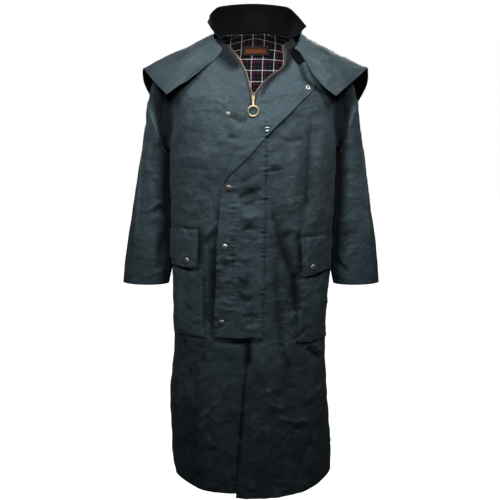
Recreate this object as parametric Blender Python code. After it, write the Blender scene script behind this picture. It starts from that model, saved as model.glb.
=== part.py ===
"""Full-length waxed riding coat with a shoulder cape, filled out as if worn, front towards -Y.

Lengths are in millimetres and angles in degrees until a mesh is made. The origin is the middle of
the neck seam, where the wearer's neck and shoulders carry the coat. Right and left are the viewer's.
On the body, angle -90 is the centre front, 0 the right side, 90 the centre back and 180 the left side.
"""

from collections import namedtuple

import bmesh
import bpy
import numpy as np
from mathutils import Matrix, Vector

MM = 0.001
RIGHT, LEFT = 1, -1
SIDE_NAMES = {RIGHT: "right", LEFT: "left"}

# Cloth
WALL = 1.6
THIN = 1.2
SEAM = 0.35
LAID = 1.0
SHARP_ANGLE = 40

# Body
NECK_LEVEL = -6
HEM_LEVEL = -1244
ARMHOLE_LEVEL = -192
ARMHOLE_HALF_HEIGHT = 118
ARMHOLE_ANGLE = 30
ARMHOLE_STEPS = 10
UPPER_LEVELS = (NECK_LEVEL, -22, -45, -60)
LOWER_LEVELS = (-350, -400, -440, -480, -521, -541, -561, -590, -622, -636, -680, -730, -775, -793,
                -811, -826, -870, -930, -990, -1050, -1110, -1170, -1210, HEM_LEVEL)
FRONT_FRACTIONS = (0, 0.12, 0.24, 0.36, 0.48, 0.6, 0.72, 0.84, 0.93, 1)
BACK_COLUMNS = 15
ANGLE_STEP, LEVEL_STEP = 1.5, 4
FRONT_PASSES = 5

Ring = namedtuple("Ring", "level half_width front back shift square tilt_front tilt_back side_lift")
BODY = (
    Ring(NECK_LEVEL, 95, 72, 85, 3, 2.0, 30, 15, 0),
    Ring(-22, 132, 84, 104, 3, 2.05, 24, 10, 0),
    Ring(-45, 178, 95, 118, 2, 2.1, 16, 6, 0),
    Ring(-72, 216, 104, 126, 1, 2.2, 8, 2, 0),
    Ring(-100, 227, 113, 131, 0, 2.3, 3, 0, 0),
    Ring(-165, 231, 135, 136, 0, 2.35, 0, 0, 0),
    Ring(-250, 230, 150, 139, 0, 2.35, 0, 0, 0),
    Ring(-320, 229, 156, 138, 0, 2.35, 0, 0, 0),
    Ring(-420, 228, 152, 132, -2, 2.35, 0, 0, 0),
    Ring(-540, 224, 150, 130, -4, 2.35, 0, 0, 0),
    Ring(-640, 219, 151, 134, -6, 2.35, 0, 0, 0),
    Ring(-700, 215, 154, 140, -7, 2.35, 0, 0, 0),
    Ring(-840, 213, 162, 156, -10, 2.35, 0, 0, 0),
    Ring(-1000, 224, 170, 168, -12, 2.3, 0, 0, 0),
    Ring(-1175, 228, 178, 178, -3, 2.25, 0, 0, 2),
    Ring(HEM_LEVEL, 224, 180, 180, -1, 2.25, 0, 0, 26),
)

Fold = namedtuple("Fold", "top_angle foot_angle top foot half_width depth")
FOLDS = (
    Fold(-78, -56, -480, -830, 9, 6),
    Fold(-44, -48, -840, -1320, 10, 7),
    Fold(-70, -72, -900, -1320, 9, -4),
    Fold(-118, -124, -830, -1320, 10, 7),
    Fold(-148, -144, -880, -1320, 9, -5),
    Fold(62, 58, -620, -1320, 12, 8),
    Fold(90, 90, -420, -860, 15, -5),
    Fold(118, 124, -680, -1320, 12, 8),
)

# Zip, front edges and vent
TAPE = 9
ZIP_HALF_GAP = 0.25
ZIP_FOOT = -775
EdgePoint = namedtuple("EdgePoint", "level right left")
ZIP_LINE = (
    EdgePoint(NECK_LEVEL, 76, -60),
    EdgePoint(-45, 79, -37),
    EdgePoint(-72, 77, -26),
    EdgePoint(-90, 64, -19),
    EdgePoint(-106, 42, -14),
    EdgePoint(-130, 19, -8),
    EdgePoint(-165, 0, 0),
    EdgePoint(-230, 0, 0),
    EdgePoint(-800, -5, -5),
)
VENT_LIFT_TOP = -811
VENT_LIFT = 3.6
VENT_LIFT_ANGLE = 22
VENT_LIFT_HEIGHT = 28
VENT = (
    EdgePoint(-793, -13.4, -14.2),
    EdgePoint(VENT_LIFT_TOP, -14, -14.8),
    EdgePoint(-826, -15, -15.8),
    EdgePoint(-870, -19, 4),
    EdgePoint(HEM_LEVEL, -47, 4),
)

# Sleeves
CUFF_STATION = 8
SLEEVE_RINGS = 13
SLEEVE_LEAN = {RIGHT: -6, LEFT: 5}
SleeveRing = namedtuple("SleeveRing", "station inner_x inner_z outer_x outer_z half_depth middle_y")
SLEEVE = (
    SleeveRing(0, 234, -318, 262, -96, 78, 0),
    SleeveRing(1, 237, -328, 277, -140, 80, 2),
    SleeveRing(2, 238, -345, 286, -195, 80, 4),
    SleeveRing(3, 235, -380, 297, -270, 76, 5),
    SleeveRing(4, 232, -430, 311, -350, 70, 3),
    SleeveRing(5, 229, -490, 326, -440, 63, -2),
    SleeveRing(6, 228, -560, 341, -530, 55, -8),
    SleeveRing(7, 228, -625, 352, -612, 48, -13),
    SleeveRing(CUFF_STATION, 230, -676, 358, -673, 44, -16),
)

# Collar
COLLAR_RISE = 0.7
COLLAR_BULGE = 5
COLLAR_ROWS = 5
COLLAR_COLUMNS = 19
CollarPoint = namedtuple("CollarPoint", "angle x y z")
COLLAR_TOP = (
    CollarPoint(-20, 143, -34, 22),
    CollarPoint(5, 127, 18, 48),
    CollarPoint(40, 92, 66, 81),
    CollarPoint(90, -1, 100, 92),
    CollarPoint(140, -95, 66, 81),
    CollarPoint(180, -117, 18, 56),
    CollarPoint(214, -123, -34, 33),
)

# Shoulder cape, section by section from the right front edge round the back to the left front edge
CAPE_STEPS = 7
CAPE_FRONT_COLUMNS, CAPE_BACK_COLUMNS = 6, 21
CAPE_DIFFERENCE = 0.02
CapeSection = namedtuple("CapeSection", "station neck crest middle hem")
CAPE = (
    CapeSection(0, (110, -62, -37), (136, -82, -66), (163, -104, -112), (217, -114, -159)),
    CapeSection(1, (124, -40, -14), (148, -50, -36), (200, -70, -78), (263, -66, -124)),
    CapeSection(2, (132, 0, 12), (152, 0, -8), (228, 6, -46), (313, 18, -86)),
    CapeSection(3, (104, 44, 14), (140, 58, -6), (230, 76, -62), (320, 74, -124)),
    CapeSection(4, (82, 70, 20), (116, 94, -6), (206, 122, -92), (298, 122, -182)),
    CapeSection(5, (46, 90, 23), (66, 114, -5), (122, 146, -124), (185, 158, -266)),
    CapeSection(6, (0, 94, 24), (0, 120, -4), (0, 152, -150), (0, 166, -318)),
    CapeSection(7, (-46, 90, 23), (-66, 114, -5), (-122, 146, -124), (-180, 158, -264)),
    CapeSection(8, (-80, 70, 20), (-114, 94, -6), (-200, 122, -92), (-284, 122, -180)),
    CapeSection(9, (-100, 44, 12), (-138, 58, -8), (-222, 76, -62), (-307, 70, -116)),
    CapeSection(10, (-108, 0, 4), (-142, 0, -14), (-216, 6, -46), (-301, 16, -86)),
    CapeSection(11, (-102, -38, -14), (-134, -52, -36), (-196, -74, -78), (-264, -66, -122)),
    CapeSection(12, (-82, -66, -36), (-106, -90, -68), (-158, -110, -108), (-227, -114, -156)),
)
SHOULDER_STATIONS = (2, 10)
CAPE_SEAM = 0.004

# Storm flap: closed stretch, and the stretch turned back over a rolled fold
FlapEdge = namedtuple("FlapEdge", "z seam free")
FLAP_CLOSED = (
    FlapEdge(-800, 25, -105),
    FlapEdge(-554, 29, -95),
    FlapEdge(-400, 32, -80),
    FlapEdge(-384, 32, -72),
    FlapEdge(-326, 33, -52),
    FlapEdge(-285, 33, -35),
    FlapEdge(-254, 33, -25),
    FlapEdge(-217, 33, -9),
    FlapEdge(-165, 35, 18),
    FlapEdge(-145, 36, 28),
)
FlapTurn = namedtuple("FlapTurn", "station fold_x fold_z free_x free_z")
FLAP_TURNED = (
    FlapTurn(0, -76, -384, -64, -366),
    FlapTurn(1, -55, -326, -22, -326),
    FlapTurn(2, -38, -285, 8, -294),
    FlapTurn(3, -28, -254, 34, -264),
    FlapTurn(4, -12, -217, 62, -236),
    FlapTurn(5, 15, -165, 92, -208),
    FlapTurn(6, 40, -126, 122, -177),
    FlapTurn(7, 80, -92, 152, -148),
    FlapTurn(8, 97, -62, 162, -131),
)
FLAP_CLOSED_STEPS = 20
FLAP_CLOSED_COLUMNS = 7
FLAP_TURNED_STEPS = 17
FOLD_RADIUS = 2.5
FOLD_START = 0.16
FOLD_STEPS = 5
FLAP_REACH = (0.25, 0.5, 0.75, 1)
FREE_EDGE_DROP = 2.9

# Throat tab
TAB_TOP, TAB_FOOT = (103, -33), (125, -76)
TAB_WIDTH = 21
TAB_ROWS, TAB_COLUMNS = 5, 4

# Pockets
Pocket = namedtuple("Pocket", "side flap_top bag_top flap_foot bag_foot stud_x stud_z")
POCKETS = (
    Pocket(RIGHT, -541, -561, -636, -826, 160, -615),
    Pocket(LEFT, -521, -541, -622, -811, -177, -598),
)
BAG_FIRST_COLUMN, BAG_LAST_COLUMN = 3, 8
FLAP_FIRST_FRACTION = 0.4
FLAP_OVER_BAG = LAID + THIN + 0.6

# Lining and label
LINING_FOOT = -304
LABEL_WIDTH, LABEL_TOP, LABEL_FOOT = 72, -30, -52
LABEL_MIDDLE = 4
LABEL_GAP = 1.7
LABEL_WALL = 1
LABEL_ROWS, LABEL_COLUMNS = 4, 7

# Press studs: kind, place on the front and the layer they are set on
Stud = namedtuple("Stud", "name kind x z out")
CLOSED_TOP = LAID + WALL
TURNED_MIDDLE = CLOSED_TOP - WALL / 2 + 2 * FOLD_RADIUS
POCKET_TOP = FLAP_OVER_BAG + THIN
LEFT_POCKET_SINK = 0.75
STUDS = (
    Stud("stud_lapel_upper", "socket", 140, -141, TURNED_MIDDLE - FREE_EDGE_DROP * 0.8 + WALL / 2),
    Stud("stud_lapel_lower", "socket", 36, -246, TURNED_MIDDLE - FREE_EDGE_DROP * 0.7 + WALL / 2),
    Stud("stud_fold", "cap", -64, -398, CLOSED_TOP),
    Stud("stud_post", "post", -66, -206, 0),
    Stud("stud_flap_upper", "cap", -75, -555, CLOSED_TOP),
    Stud("stud_flap_lower", "cap", -85, -759, CLOSED_TOP),
    Stud("stud_pocket_right", "cap", POCKETS[0].stud_x, POCKETS[0].stud_z, POCKET_TOP),
    Stud("stud_pocket_left", "cap", POCKETS[1].stud_x, POCKETS[1].stud_z, POCKET_TOP - LEFT_POCKET_SINK),
)
STUD_GAP = 0.5
STUD_SIDES = 16
ProfilePoint = namedtuple("ProfilePoint", "radius height")
STUD_PROFILES = {  # radius and height of each ring, from the foot up
    "cap": ((8.5, 0), (8.5, 0.9), (7.2, 2.0), (4.0, 2.8)),
    "socket": ((6.5, 0), (6.5, 1.4), (5.2, 1.9), (3.2, 1.0)),
    "post": ((6.5, 0), (6.0, 0.9), (2.6, 1.3), (2.3, 3.4)),
}

# Zip slider and ring pull
SLIDER_Z = -166
SLIDER_WIDTH, SLIDER_HEIGHT, SLIDER_DEPTH = 9, 15, 4.5
SLIDER_OUT = 2.5
SLIDER_BEVEL = 1
CHEEK_WIDTH, CHEEK_HEIGHT = 1.4, 5
CHEEK_X = 3.1
CHEEK_OVER_PIN = 1
PIN_RADIUS = 0.9
PIN_OUT = 10.5
PIN_Z = -168
EYE_RADIUS, EYE_BORE, EYE_WIDTH = 2.6, 1.4, 3.4
RING_RADIUS, RING_WIRE = 13.2, 2.2
RING_Z, RING_OUT = -198, 12.6
NECK_WIDTH, NECK_DEPTH = 3.4, 1.6
NECK_FROM_PIN, NECK_INTO_RING = 1.9, 0.5
RING_MERGE = 0.01
ROUND_SIDES = 16
RING_SIDES = 28
WIRE_SIDES = 8

Finish = namedtuple("Finish", "colour roughness metallic")
FINISHES = {
    "wax_cotton": Finish((0.030, 0.042, 0.050), 0.55, 0),
    "corduroy": Finish((0.008, 0.008, 0.010), 0.9, 0),
    "plaid_lining": Finish((0.020, 0.024, 0.045), 0.8, 0),
    "label_cloth": Finish((0.28, 0.10, 0.04), 0.8, 0),
    "zip_tape": Finish((0.012, 0.014, 0.020), 0.85, 0),
    "brass": Finish((0.75, 0.55, 0.25), 0.3, 1),
    "stud_metal": Finish((0.42, 0.36, 0.26), 0.4, 1),
}


def clear_scene():
    """Removes every object of the scene."""
    for found in list(bpy.data.objects):
        bpy.data.objects.remove(found, do_unlink=True)


def make_materials():
    """One Principled material for each finish, by name."""
    made = {}
    for name, finish in FINISHES.items():
        made[name] = bpy.data.materials.new(name)
        made[name].use_nodes = True
        shader = made[name].node_tree.nodes["Principled BSDF"]
        shader.inputs["Base Color"].default_value = (*finish.colour, 1)
        shader.inputs["Roughness"].default_value = finish.roughness
        shader.inputs["Metallic"].default_value = finish.metallic
    return made


def smooth(xs, ys, at):
    """Shape-preserving cubic through the points (xs, ys), read at the given places; xs rises."""
    xs, ys, at = (np.asarray(values, float) for values in (xs, ys, at))
    step = np.diff(xs)
    slope = np.diff(ys) / step
    product = slope[:-1] * slope[1:]
    total = np.where(product > 0, slope[:-1] + slope[1:], 1)
    bends = np.where(product > 0, 2 * product / total, 0)
    tangent = np.concatenate([slope[:1], bends, slope[-1:]])
    i = np.clip(np.searchsorted(xs, at) - 1, 0, len(step) - 1)
    t = np.clip((at - xs[i]) / step[i], 0, 1)
    start = (1 + 2 * t) * ys[i] + t * step[i] * tangent[i]
    end = (3 - 2 * t) * ys[i + 1] + (t - 1) * step[i] * tangent[i + 1]
    return (1 - t) ** 2 * start + t ** 2 * end


def read(table, column, at):
    """A named column of a table, read smoothly at values of the table's first column."""
    rows = sorted(table)
    return smooth([row[0] for row in rows], [getattr(row, column) for row in rows], at)


def cross_normal(first, second):
    """Unit vectors at right angles to two fields of directions."""
    normal = np.cross(first, second)
    return normal / np.linalg.norm(normal, axis=-1, keepdims=True)


def body_ring(angle, level):
    """Points of the plain body, with no folds."""
    across, along = np.cos(np.radians(angle)), np.sin(np.radians(angle))
    power = 2 / read(BODY, "square", level)
    in_front = along < 0
    depth = np.where(in_front, read(BODY, "front", level), read(BODY, "back", level))
    tilt = np.where(in_front, read(BODY, "tilt_front", level), read(BODY, "tilt_back", level))
    spread = np.sign(across) * np.abs(across) ** power
    x = read(BODY, "shift", level) + read(BODY, "half_width", level) * spread
    y = depth * np.sign(along) * np.abs(along) ** power
    z = level + tilt * along + read(BODY, "side_lift", level) * across ** 2
    return np.stack([x, y, z], -1)


def fold_height(angle, level):
    """How far the folds lift the cloth off the plain body."""
    height = np.zeros(np.broadcast(angle, level).shape)
    for fold in FOLDS:
        share = np.clip((fold.top - level) / (fold.top - fold.foot), 0, 1)
        middle = fold.top_angle + (fold.foot_angle - fold.top_angle) * share
        turn = (angle - middle + 180) % 360 - 180
        height = height + fold.depth * np.sin(np.pi * share) * np.exp(-(turn / fold.half_width) ** 2)
    return height


def body(angle, level, out=0.0):
    """Points of the folded body, moved out along the plain body's normal."""
    angle, level, out = np.broadcast_arrays(*(np.asarray(v, float) for v in (angle, level, out)))
    turn = body_ring(angle + ANGLE_STEP, level) - body_ring(angle - ANGLE_STEP, level)
    top = np.minimum(level + LEVEL_STEP / 2, NECK_LEVEL)
    rise = body_ring(angle, top) - body_ring(angle, np.maximum(top - LEVEL_STEP, HEM_LEVEL))
    normal = cross_normal(turn, rise)
    return body_ring(angle, level) + normal * (out + fold_height(angle, level))[..., None]


def front_angle(x, level):
    """Angle on the front at which the body has this x."""
    share = np.clip((x - read(BODY, "shift", level)) / read(BODY, "half_width", level), -1, 1)
    across = np.sign(share) * np.abs(share) ** (read(BODY, "square", level) / 2)
    return -np.degrees(np.arccos(across))


def on_front(x, z, out=0.0):
    """Points of the front at a given x and height, moved out of the cloth."""
    x, z = np.broadcast_arrays(np.asarray(x, float), np.asarray(z, float))
    level = z
    for _ in range(FRONT_PASSES):
        angle = front_angle(x, level)
        level = z - read(BODY, "tilt_front", level) * np.sin(np.radians(angle))
    return body(angle, level, out)


def armhole_angle(level):
    """Half the armhole's width at a level; nought above and below it."""
    share = np.clip((level - ARMHOLE_LEVEL) / ARMHOLE_HALF_HEIGHT, -1, 1)
    return ARMHOLE_ANGLE * np.sqrt(1 - share ** 2)


def side_angle(level):
    """Angle from the side at which a panel ends: half a seam, or the armhole."""
    depth = read(BODY, "front", level)
    seam = np.degrees((SEAM / 2 / depth) ** (read(BODY, "square", level) / 2))
    return np.maximum(seam, armhole_angle(level))


def body_levels():
    """Rows shared by the fronts and the back, even round the armhole."""
    turns = np.pi * np.arange(ARMHOLE_STEPS + 1) / ARMHOLE_STEPS
    armhole = ARMHOLE_LEVEL + ARMHOLE_HALF_HEIGHT * np.cos(turns)
    return np.concatenate([UPPER_LEVELS, armhole, LOWER_LEVELS])


def front_edge(side, level):
    """x of a front's free edge: beside the zip tape, and below the zip the vent's overlap."""
    name = SIDE_NAMES[side]
    zip_edge = read(ZIP_LINE, name, level) + side * TAPE
    return np.where(level >= ZIP_FOOT, zip_edge, read(VENT, name, level))


def front_angles(side, level, fraction):
    """Angles across a front, from its free edge to its side seam or armhole."""
    edge = front_angle(front_edge(side, level), level)
    far = -side_angle(level) if side == RIGHT else side_angle(level) - 180
    return edge + (far - edge) * fraction


def vent_lift(side, angle, level):
    """How far the right front stands off below the zip, where it lies over the left one."""
    near = np.clip((-90 + 2 * VENT_LIFT_ANGLE - angle) / VENT_LIFT_ANGLE, 0, 1)
    below = np.clip((VENT_LIFT_TOP - level) / VENT_LIFT_HEIGHT, 0, 1)
    return VENT_LIFT * near * below * (side == RIGHT)


def wall(name, outer, inner, finish, tube=False):
    """One closed cloth wall between two grids of points; a tube's columns join up.

    Both faces have the same diagonals, so that layered walls stay parallel.
    """
    rows, columns = outer.shape[:2]
    spans = columns if tube else columns - 1

    def at(row, column, layer):
        return (layer * rows + row) * columns + column % columns

    faces = []
    for row in range(rows - 1):
        for column in range(spans):
            low, high = at(row, column, 0), at(row + 1, column, 0)
            low_next, high_next = at(row, column + 1, 0), at(row + 1, column + 1, 0)
            for triangle in ([low, low_next, high_next], [low, high_next, high]):
                faces.append(triangle)
                faces.append([index + rows * columns for index in reversed(triangle)])
    for column in range(spans):
        for row in (0, rows - 1):
            near, far = at(row, column, 0), at(row, column + 1, 0)
            faces.append([near, at(row, column, 1), at(row, column + 1, 1), far])
    if not tube:
        for row in range(rows - 1):
            for column in (0, columns - 1):
                near, far = at(row, column, 0), at(row + 1, column, 0)
                faces.append([near, far, at(row + 1, column, 1), at(row, column, 1)])
    mesh = bpy.data.meshes.new(name)
    mesh.from_pydata(np.concatenate([outer, inner]).reshape(-1, 3) * MM, [], faces)
    shaped = bmesh.new()
    shaped.from_mesh(mesh)
    bmesh.ops.recalc_face_normals(shaped, faces=shaped.faces)
    shaped.to_mesh(mesh)
    shaped.free()
    return place(name, mesh, finish)


def place(name, mesh, finish):
    """An object of its own for a finished mesh."""
    mesh.materials.append(MATERIALS[finish])
    mesh.shade_smooth()
    mesh.set_sharp_from_angle(angle=np.radians(SHARP_ANGLE))
    made = bpy.data.objects.new(name, mesh)
    bpy.context.scene.collection.objects.link(made)
    return made


def make_front(side):
    """A front panel, with its patch pocket's bag and flap laid on it from its own points."""
    name = SIDE_NAMES[side]
    levels = body_levels()[:, None]
    angles = front_angles(side, levels, np.array(FRONT_FRACTIONS))
    lift = vent_lift(side, angles, levels)
    wall(f"front_{name}", body(angles, levels, lift), body(angles, levels, lift - WALL), "wax_cotton")
    pocket = next(pocket for pocket in POCKETS if pocket.side == side)
    levels = body_levels()
    bag_levels = levels[(levels <= pocket.bag_top) & (levels >= pocket.bag_foot)][:, None]
    bag_fractions = np.array(FRONT_FRACTIONS[BAG_FIRST_COLUMN:BAG_LAST_COLUMN + 1])
    lay(f"pocket_bag_{name}", side, bag_levels, bag_fractions, LAID)
    flap_levels = levels[(levels <= pocket.flap_top) & (levels >= pocket.flap_foot)][:, None]
    flap_fractions = np.array((FLAP_FIRST_FRACTION, *bag_fractions[1:]))
    out = np.where(flap_levels > pocket.bag_top, LAID, FLAP_OVER_BAG)
    lay(f"pocket_flap_{name}", side, flap_levels, flap_fractions, out)


def lay(name, side, levels, fractions, out):
    """Thin cloth laid on a front from the front's own rows and columns, moved out."""
    angles = front_angles(side, levels, fractions)
    out = out + vent_lift(side, angles, levels)
    wall(name, body(angles, levels, out + THIN), body(angles, levels, out), "wax_cotton")


def make_back():
    """The back panel, and the stretch of lining that shows in the neck."""
    levels = body_levels()[:, None]
    side = side_angle(levels)
    angles = side + (180 - 2 * side) * np.linspace(0, 1, BACK_COLUMNS)
    wall("back", body(angles, levels), body(angles, levels, -WALL), "wax_cotton")
    shown = levels[:, 0] >= LINING_FOOT
    angles, levels = angles[shown], levels[shown]
    outer = body(angles, levels, -WALL - SEAM)
    inner = body(angles, levels, -WALL - SEAM - THIN)
    wall("lining_back", outer, inner, "plaid_lining")


def make_label():
    """Plain woven label on the lining below the neck."""
    levels = np.linspace(LABEL_TOP, LABEL_FOOT, LABEL_ROWS)[:, None]
    x = LABEL_MIDDLE + LABEL_WIDTH * np.linspace(-0.5, 0.5, LABEL_COLUMNS)
    angles = np.degrees(np.arccos(x / read(BODY, "half_width", levels)))
    out = -WALL - SEAM - THIN - LABEL_GAP
    wall("label", body(angles, levels, out), body(angles, levels, out - LABEL_WALL), "label_cloth")


def make_zip_tapes():
    """The zip's two tapes, from neck to flap foot, between the fronts' edges."""
    levels = body_levels()
    levels = levels[levels >= ZIP_FOOT][:, None]
    for side, name in SIDE_NAMES.items():
        line = read(ZIP_LINE, name, levels)
        x = line + side * (ZIP_HALF_GAP + (TAPE - ZIP_HALF_GAP - SEAM) * np.array((0, 0.5, 1)))
        angles = front_angle(x, levels)
        wall(f"zip_tape_{name}", body(angles, levels), body(angles, levels, -WALL), "zip_tape")


def sleeve_ring(side, station, turn):
    """Outer points of a sleeve's ring; turn 0 is its outer side, 90 its front."""
    values = {column: read(SLEEVE, column, station) for column in SleeveRing._fields[1:]}
    across, along = np.cos(np.radians(turn)), np.sin(np.radians(turn))
    outward = (1 + across) / 2
    x = values["inner_x"] + (values["outer_x"] - values["inner_x"]) * outward
    x = x + SLEEVE_LEAN[side] * station / CUFF_STATION
    y = values["middle_y"] - values["half_depth"] * along
    z = values["inner_z"] + (values["outer_z"] - values["inner_z"]) * outward
    return np.stack([side * x, y, z], -1)


def make_sleeve(side):
    """A sleeve, from the armhole's own points to the cuff."""
    turns = 180 * np.arange(2 * ARMHOLE_STEPS) / ARMHOLE_STEPS
    stations = np.linspace(0, CUFF_STATION, SLEEVE_RINGS)[:, None]
    outer = sleeve_ring(side, stations, turns)
    levels = ARMHOLE_LEVEL + ARMHOLE_HALF_HEIGHT * np.cos(np.radians(turns))
    from_side = -ARMHOLE_ANGLE * np.sin(np.radians(turns))
    hole = body(from_side if side == RIGHT else 180 - from_side, levels)
    to_middle = hole.mean(axis=0) - hole
    to_middle = to_middle / np.linalg.norm(to_middle, axis=-1, keepdims=True)
    outer = np.concatenate([(hole + to_middle * 2 * SEAM)[None], outer])
    inward = outer.mean(axis=1, keepdims=True) - outer
    inward = inward / np.linalg.norm(inward, axis=-1, keepdims=True)
    wall(f"sleeve_{SIDE_NAMES[side]}", outer, outer + inward * WALL, "wax_cotton", tube=True)


def collar_surface(angle, share):
    """Outer face of the collar between the neck seam and its top edge."""
    foot = body(angle, NECK_LEVEL) + np.array((0, 0, COLLAR_RISE))
    top = np.stack([read(COLLAR_TOP, axis, angle) for axis in "xyz"], -1)
    top = np.broadcast_to(top, foot.shape)
    middle = np.stack([np.cos(np.radians(angle)), np.sin(np.radians(angle)), 0 * angle], -1)
    share = np.asarray(share)[..., None]
    return foot + (top - foot) * share + middle * COLLAR_BULGE * np.sin(np.pi * share)


def grid_normals(points):
    """Unit normals of a grid of points, from its own rows and columns."""
    return cross_normal(np.gradient(points, axis=1), np.gradient(points, axis=0))


def make_collar():
    """The standing collar: waxed outside, corduroy facing inside."""
    angles = np.linspace(COLLAR_TOP[0].angle, COLLAR_TOP[-1].angle, COLLAR_COLUMNS)[None]
    shares = np.linspace(0, 1, COLLAR_ROWS)[:, None]
    angles, shares = np.broadcast_arrays(angles, shares)
    outer = collar_surface(angles, shares)
    normals = grid_normals(outer)
    wall("collar", outer, outer - normals * WALL, "wax_cotton")
    facing = outer - normals * (WALL + SEAM)
    wall("collar_facing", facing, facing - normals * WALL, "corduroy")


def cape_surface(station, share):
    """Outer face of the cape: station runs round the neck, share from neck to hem."""
    stations = [section.station for section in CAPE]
    points = np.zeros((*np.broadcast(station, share).shape, 3))
    station, share = np.broadcast_arrays(station, share)
    for axis in range(3):
        rails = [smooth(stations, [getattr(section, rail)[axis] for section in CAPE], station)
                 for rail in CapeSection._fields[1:]]
        points[..., axis] = through_rails(rails, share)
    return points


def through_rails(rails, share):
    """Smooth cubic through four rails, evenly spaced in share."""
    knots = np.linspace(0, 1, len(rails))
    value = 0
    for i, rail in enumerate(rails):
        weight = 1
        for j, knot in enumerate(knots):
            if j != i:
                weight = weight * (share - knot) / (knots[i] - knot)
        value = value + rail * weight
    return value


def make_cape():
    """The cape in three pieces, parted at the shoulder seams."""
    first, last = SHOULDER_STATIONS
    spans = (
        ("cape_right", CAPE[0].station, first - CAPE_SEAM, CAPE_FRONT_COLUMNS),
        ("cape_back", first + CAPE_SEAM, last - CAPE_SEAM, CAPE_BACK_COLUMNS),
        ("cape_left", last + CAPE_SEAM, CAPE[-1].station, CAPE_FRONT_COLUMNS),
    )
    shares = np.linspace(0, 1, CAPE_STEPS)[:, None]
    step = CAPE_DIFFERENCE
    for name, start, end, columns in spans:
        stations = np.linspace(start, end, columns)[None]
        low = np.maximum(stations - step, CAPE[0].station)
        high = np.minimum(stations + step, CAPE[-1].station)
        along = cape_surface(high, shares) - cape_surface(low, shares)
        down = cape_surface(stations, shares + step) - cape_surface(stations, shares - step)
        normals = -cross_normal(along, down)
        outer = cape_surface(stations, shares)
        wall(name, outer, outer - normals * WALL, "wax_cotton")


def make_storm_flap():
    """The storm flap's closed stretch and the stretch turned back over a rolled fold."""
    z = np.linspace(FLAP_CLOSED[0].z, FLAP_CLOSED[-1].z, FLAP_CLOSED_STEPS)[:, None]
    seam, free = read(FLAP_CLOSED, "seam", z), read(FLAP_CLOSED, "free", z)
    x = seam + (free - seam) * np.linspace(0, 1, FLAP_CLOSED_COLUMNS)
    wall("storm_flap", on_front(x, z, CLOSED_TOP), on_front(x, z, LAID), "wax_cotton")
    last = FLAP_TURNED[-1].station
    station = np.linspace(FLAP_TURNED[0].station, last, FLAP_TURNED_STEPS)[:, None]
    fold = np.stack([read(FLAP_TURNED, name, station) for name in ("fold_x", "fold_z")], -1)
    reach = np.stack([read(FLAP_TURNED, name, station) for name in ("free_x", "free_z")], -1) - fold
    ahead = reach / np.linalg.norm(reach, axis=-1, keepdims=True)
    turn = np.linspace(FOLD_START, np.pi, FOLD_STEPS)
    share = np.array(FLAP_REACH)
    layers = []
    for from_middle in (WALL / 2, -WALL / 2):
        radius = FOLD_RADIUS + from_middle
        rolled = fold - ahead * (radius * np.sin(turn))[None, :, None]
        rolled_out = TURNED_MIDDLE - FOLD_RADIUS - radius * np.cos(turn)
        rolled_out = np.broadcast_to(rolled_out, rolled.shape[:2])
        flat = fold + reach * share[None, :, None]
        flat_out = TURNED_MIDDLE + from_middle - FREE_EDGE_DROP * share
        flat_out = np.broadcast_to(flat_out, flat.shape[:2])
        places = np.concatenate([rolled, flat], axis=1)
        out = np.concatenate([rolled_out, flat_out], axis=1)
        layers.append(on_front(places[..., 0], places[..., 1], out))
    wall("storm_flap_turned", *layers, "wax_cotton")


def make_throat_tab():
    """Black tab that hangs beside the neck, on the right front."""
    top, foot = np.array(TAB_TOP, float), np.array(TAB_FOOT, float)
    along = np.linspace(0, 1, TAB_ROWS)[:, None, None]
    across = np.array((foot[1] - top[1], top[0] - foot[0])) / np.linalg.norm(foot - top)
    spread = TAB_WIDTH * np.linspace(-0.5, 0.5, TAB_COLUMNS)[None, :, None]
    places = top + (foot - top) * along - across * spread
    x, z = places[..., 0], places[..., 1]
    wall("throat_tab", on_front(x, z, LAID + WALL), on_front(x, z, LAID), "corduroy")


def turned_disc(profile, frame):
    """A small turned solid with a flat foot, placed by a matrix."""
    shaped = bmesh.new()
    rings = []
    for point in map(ProfilePoint._make, profile):
        ring = bmesh.ops.create_circle(shaped, segments=STUD_SIDES, radius=point.radius)["verts"]
        bmesh.ops.translate(shaped, verts=ring, vec=(0, 0, point.height))
        rings.append(ring)
    for lower, upper in zip(rings, rings[1:]):
        for side in range(STUD_SIDES):
            following = (side + 1) % STUD_SIDES
            shaped.faces.new((lower[side], lower[following], upper[following], upper[side]))
    shaped.faces.new(rings[0])
    shaped.faces.new(rings[-1])
    bmesh.ops.recalc_face_normals(shaped, faces=shaped.faces)
    bmesh.ops.transform(shaped, verts=shaped.verts, matrix=frame)
    bmesh.ops.scale(shaped, verts=shaped.verts, vec=(MM, MM, MM))
    return shaped


def make_studs():
    """Press studs on the flap, the left front and the pocket flaps."""
    for stud in STUDS:
        place_on, beside, above = on_front(
            np.array((stud.x, stud.x + 1, stud.x)), np.array((stud.z, stud.z, stud.z + 1)), stud.out)
        across = Vector(beside - place_on).normalized()
        normal = across.cross(Vector(above - place_on)).normalized()
        frame = Matrix((across, normal.cross(across), normal)).transposed().to_4x4()
        frame.translation = Vector(place_on) + normal * STUD_GAP
        shaped = turned_disc(STUD_PROFILES[stud.kind], frame)
        mesh = bpy.data.meshes.new(stud.name)
        shaped.to_mesh(mesh)
        shaped.free()
        place(stud.name, mesh, "stud_metal")


def block(shaped, size, middle):
    """Adds a box to a mesh under way."""
    made = bmesh.ops.create_cube(shaped, size=1)["verts"]
    bmesh.ops.scale(shaped, verts=made, vec=size)
    bmesh.ops.translate(shaped, verts=made, vec=middle)


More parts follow.
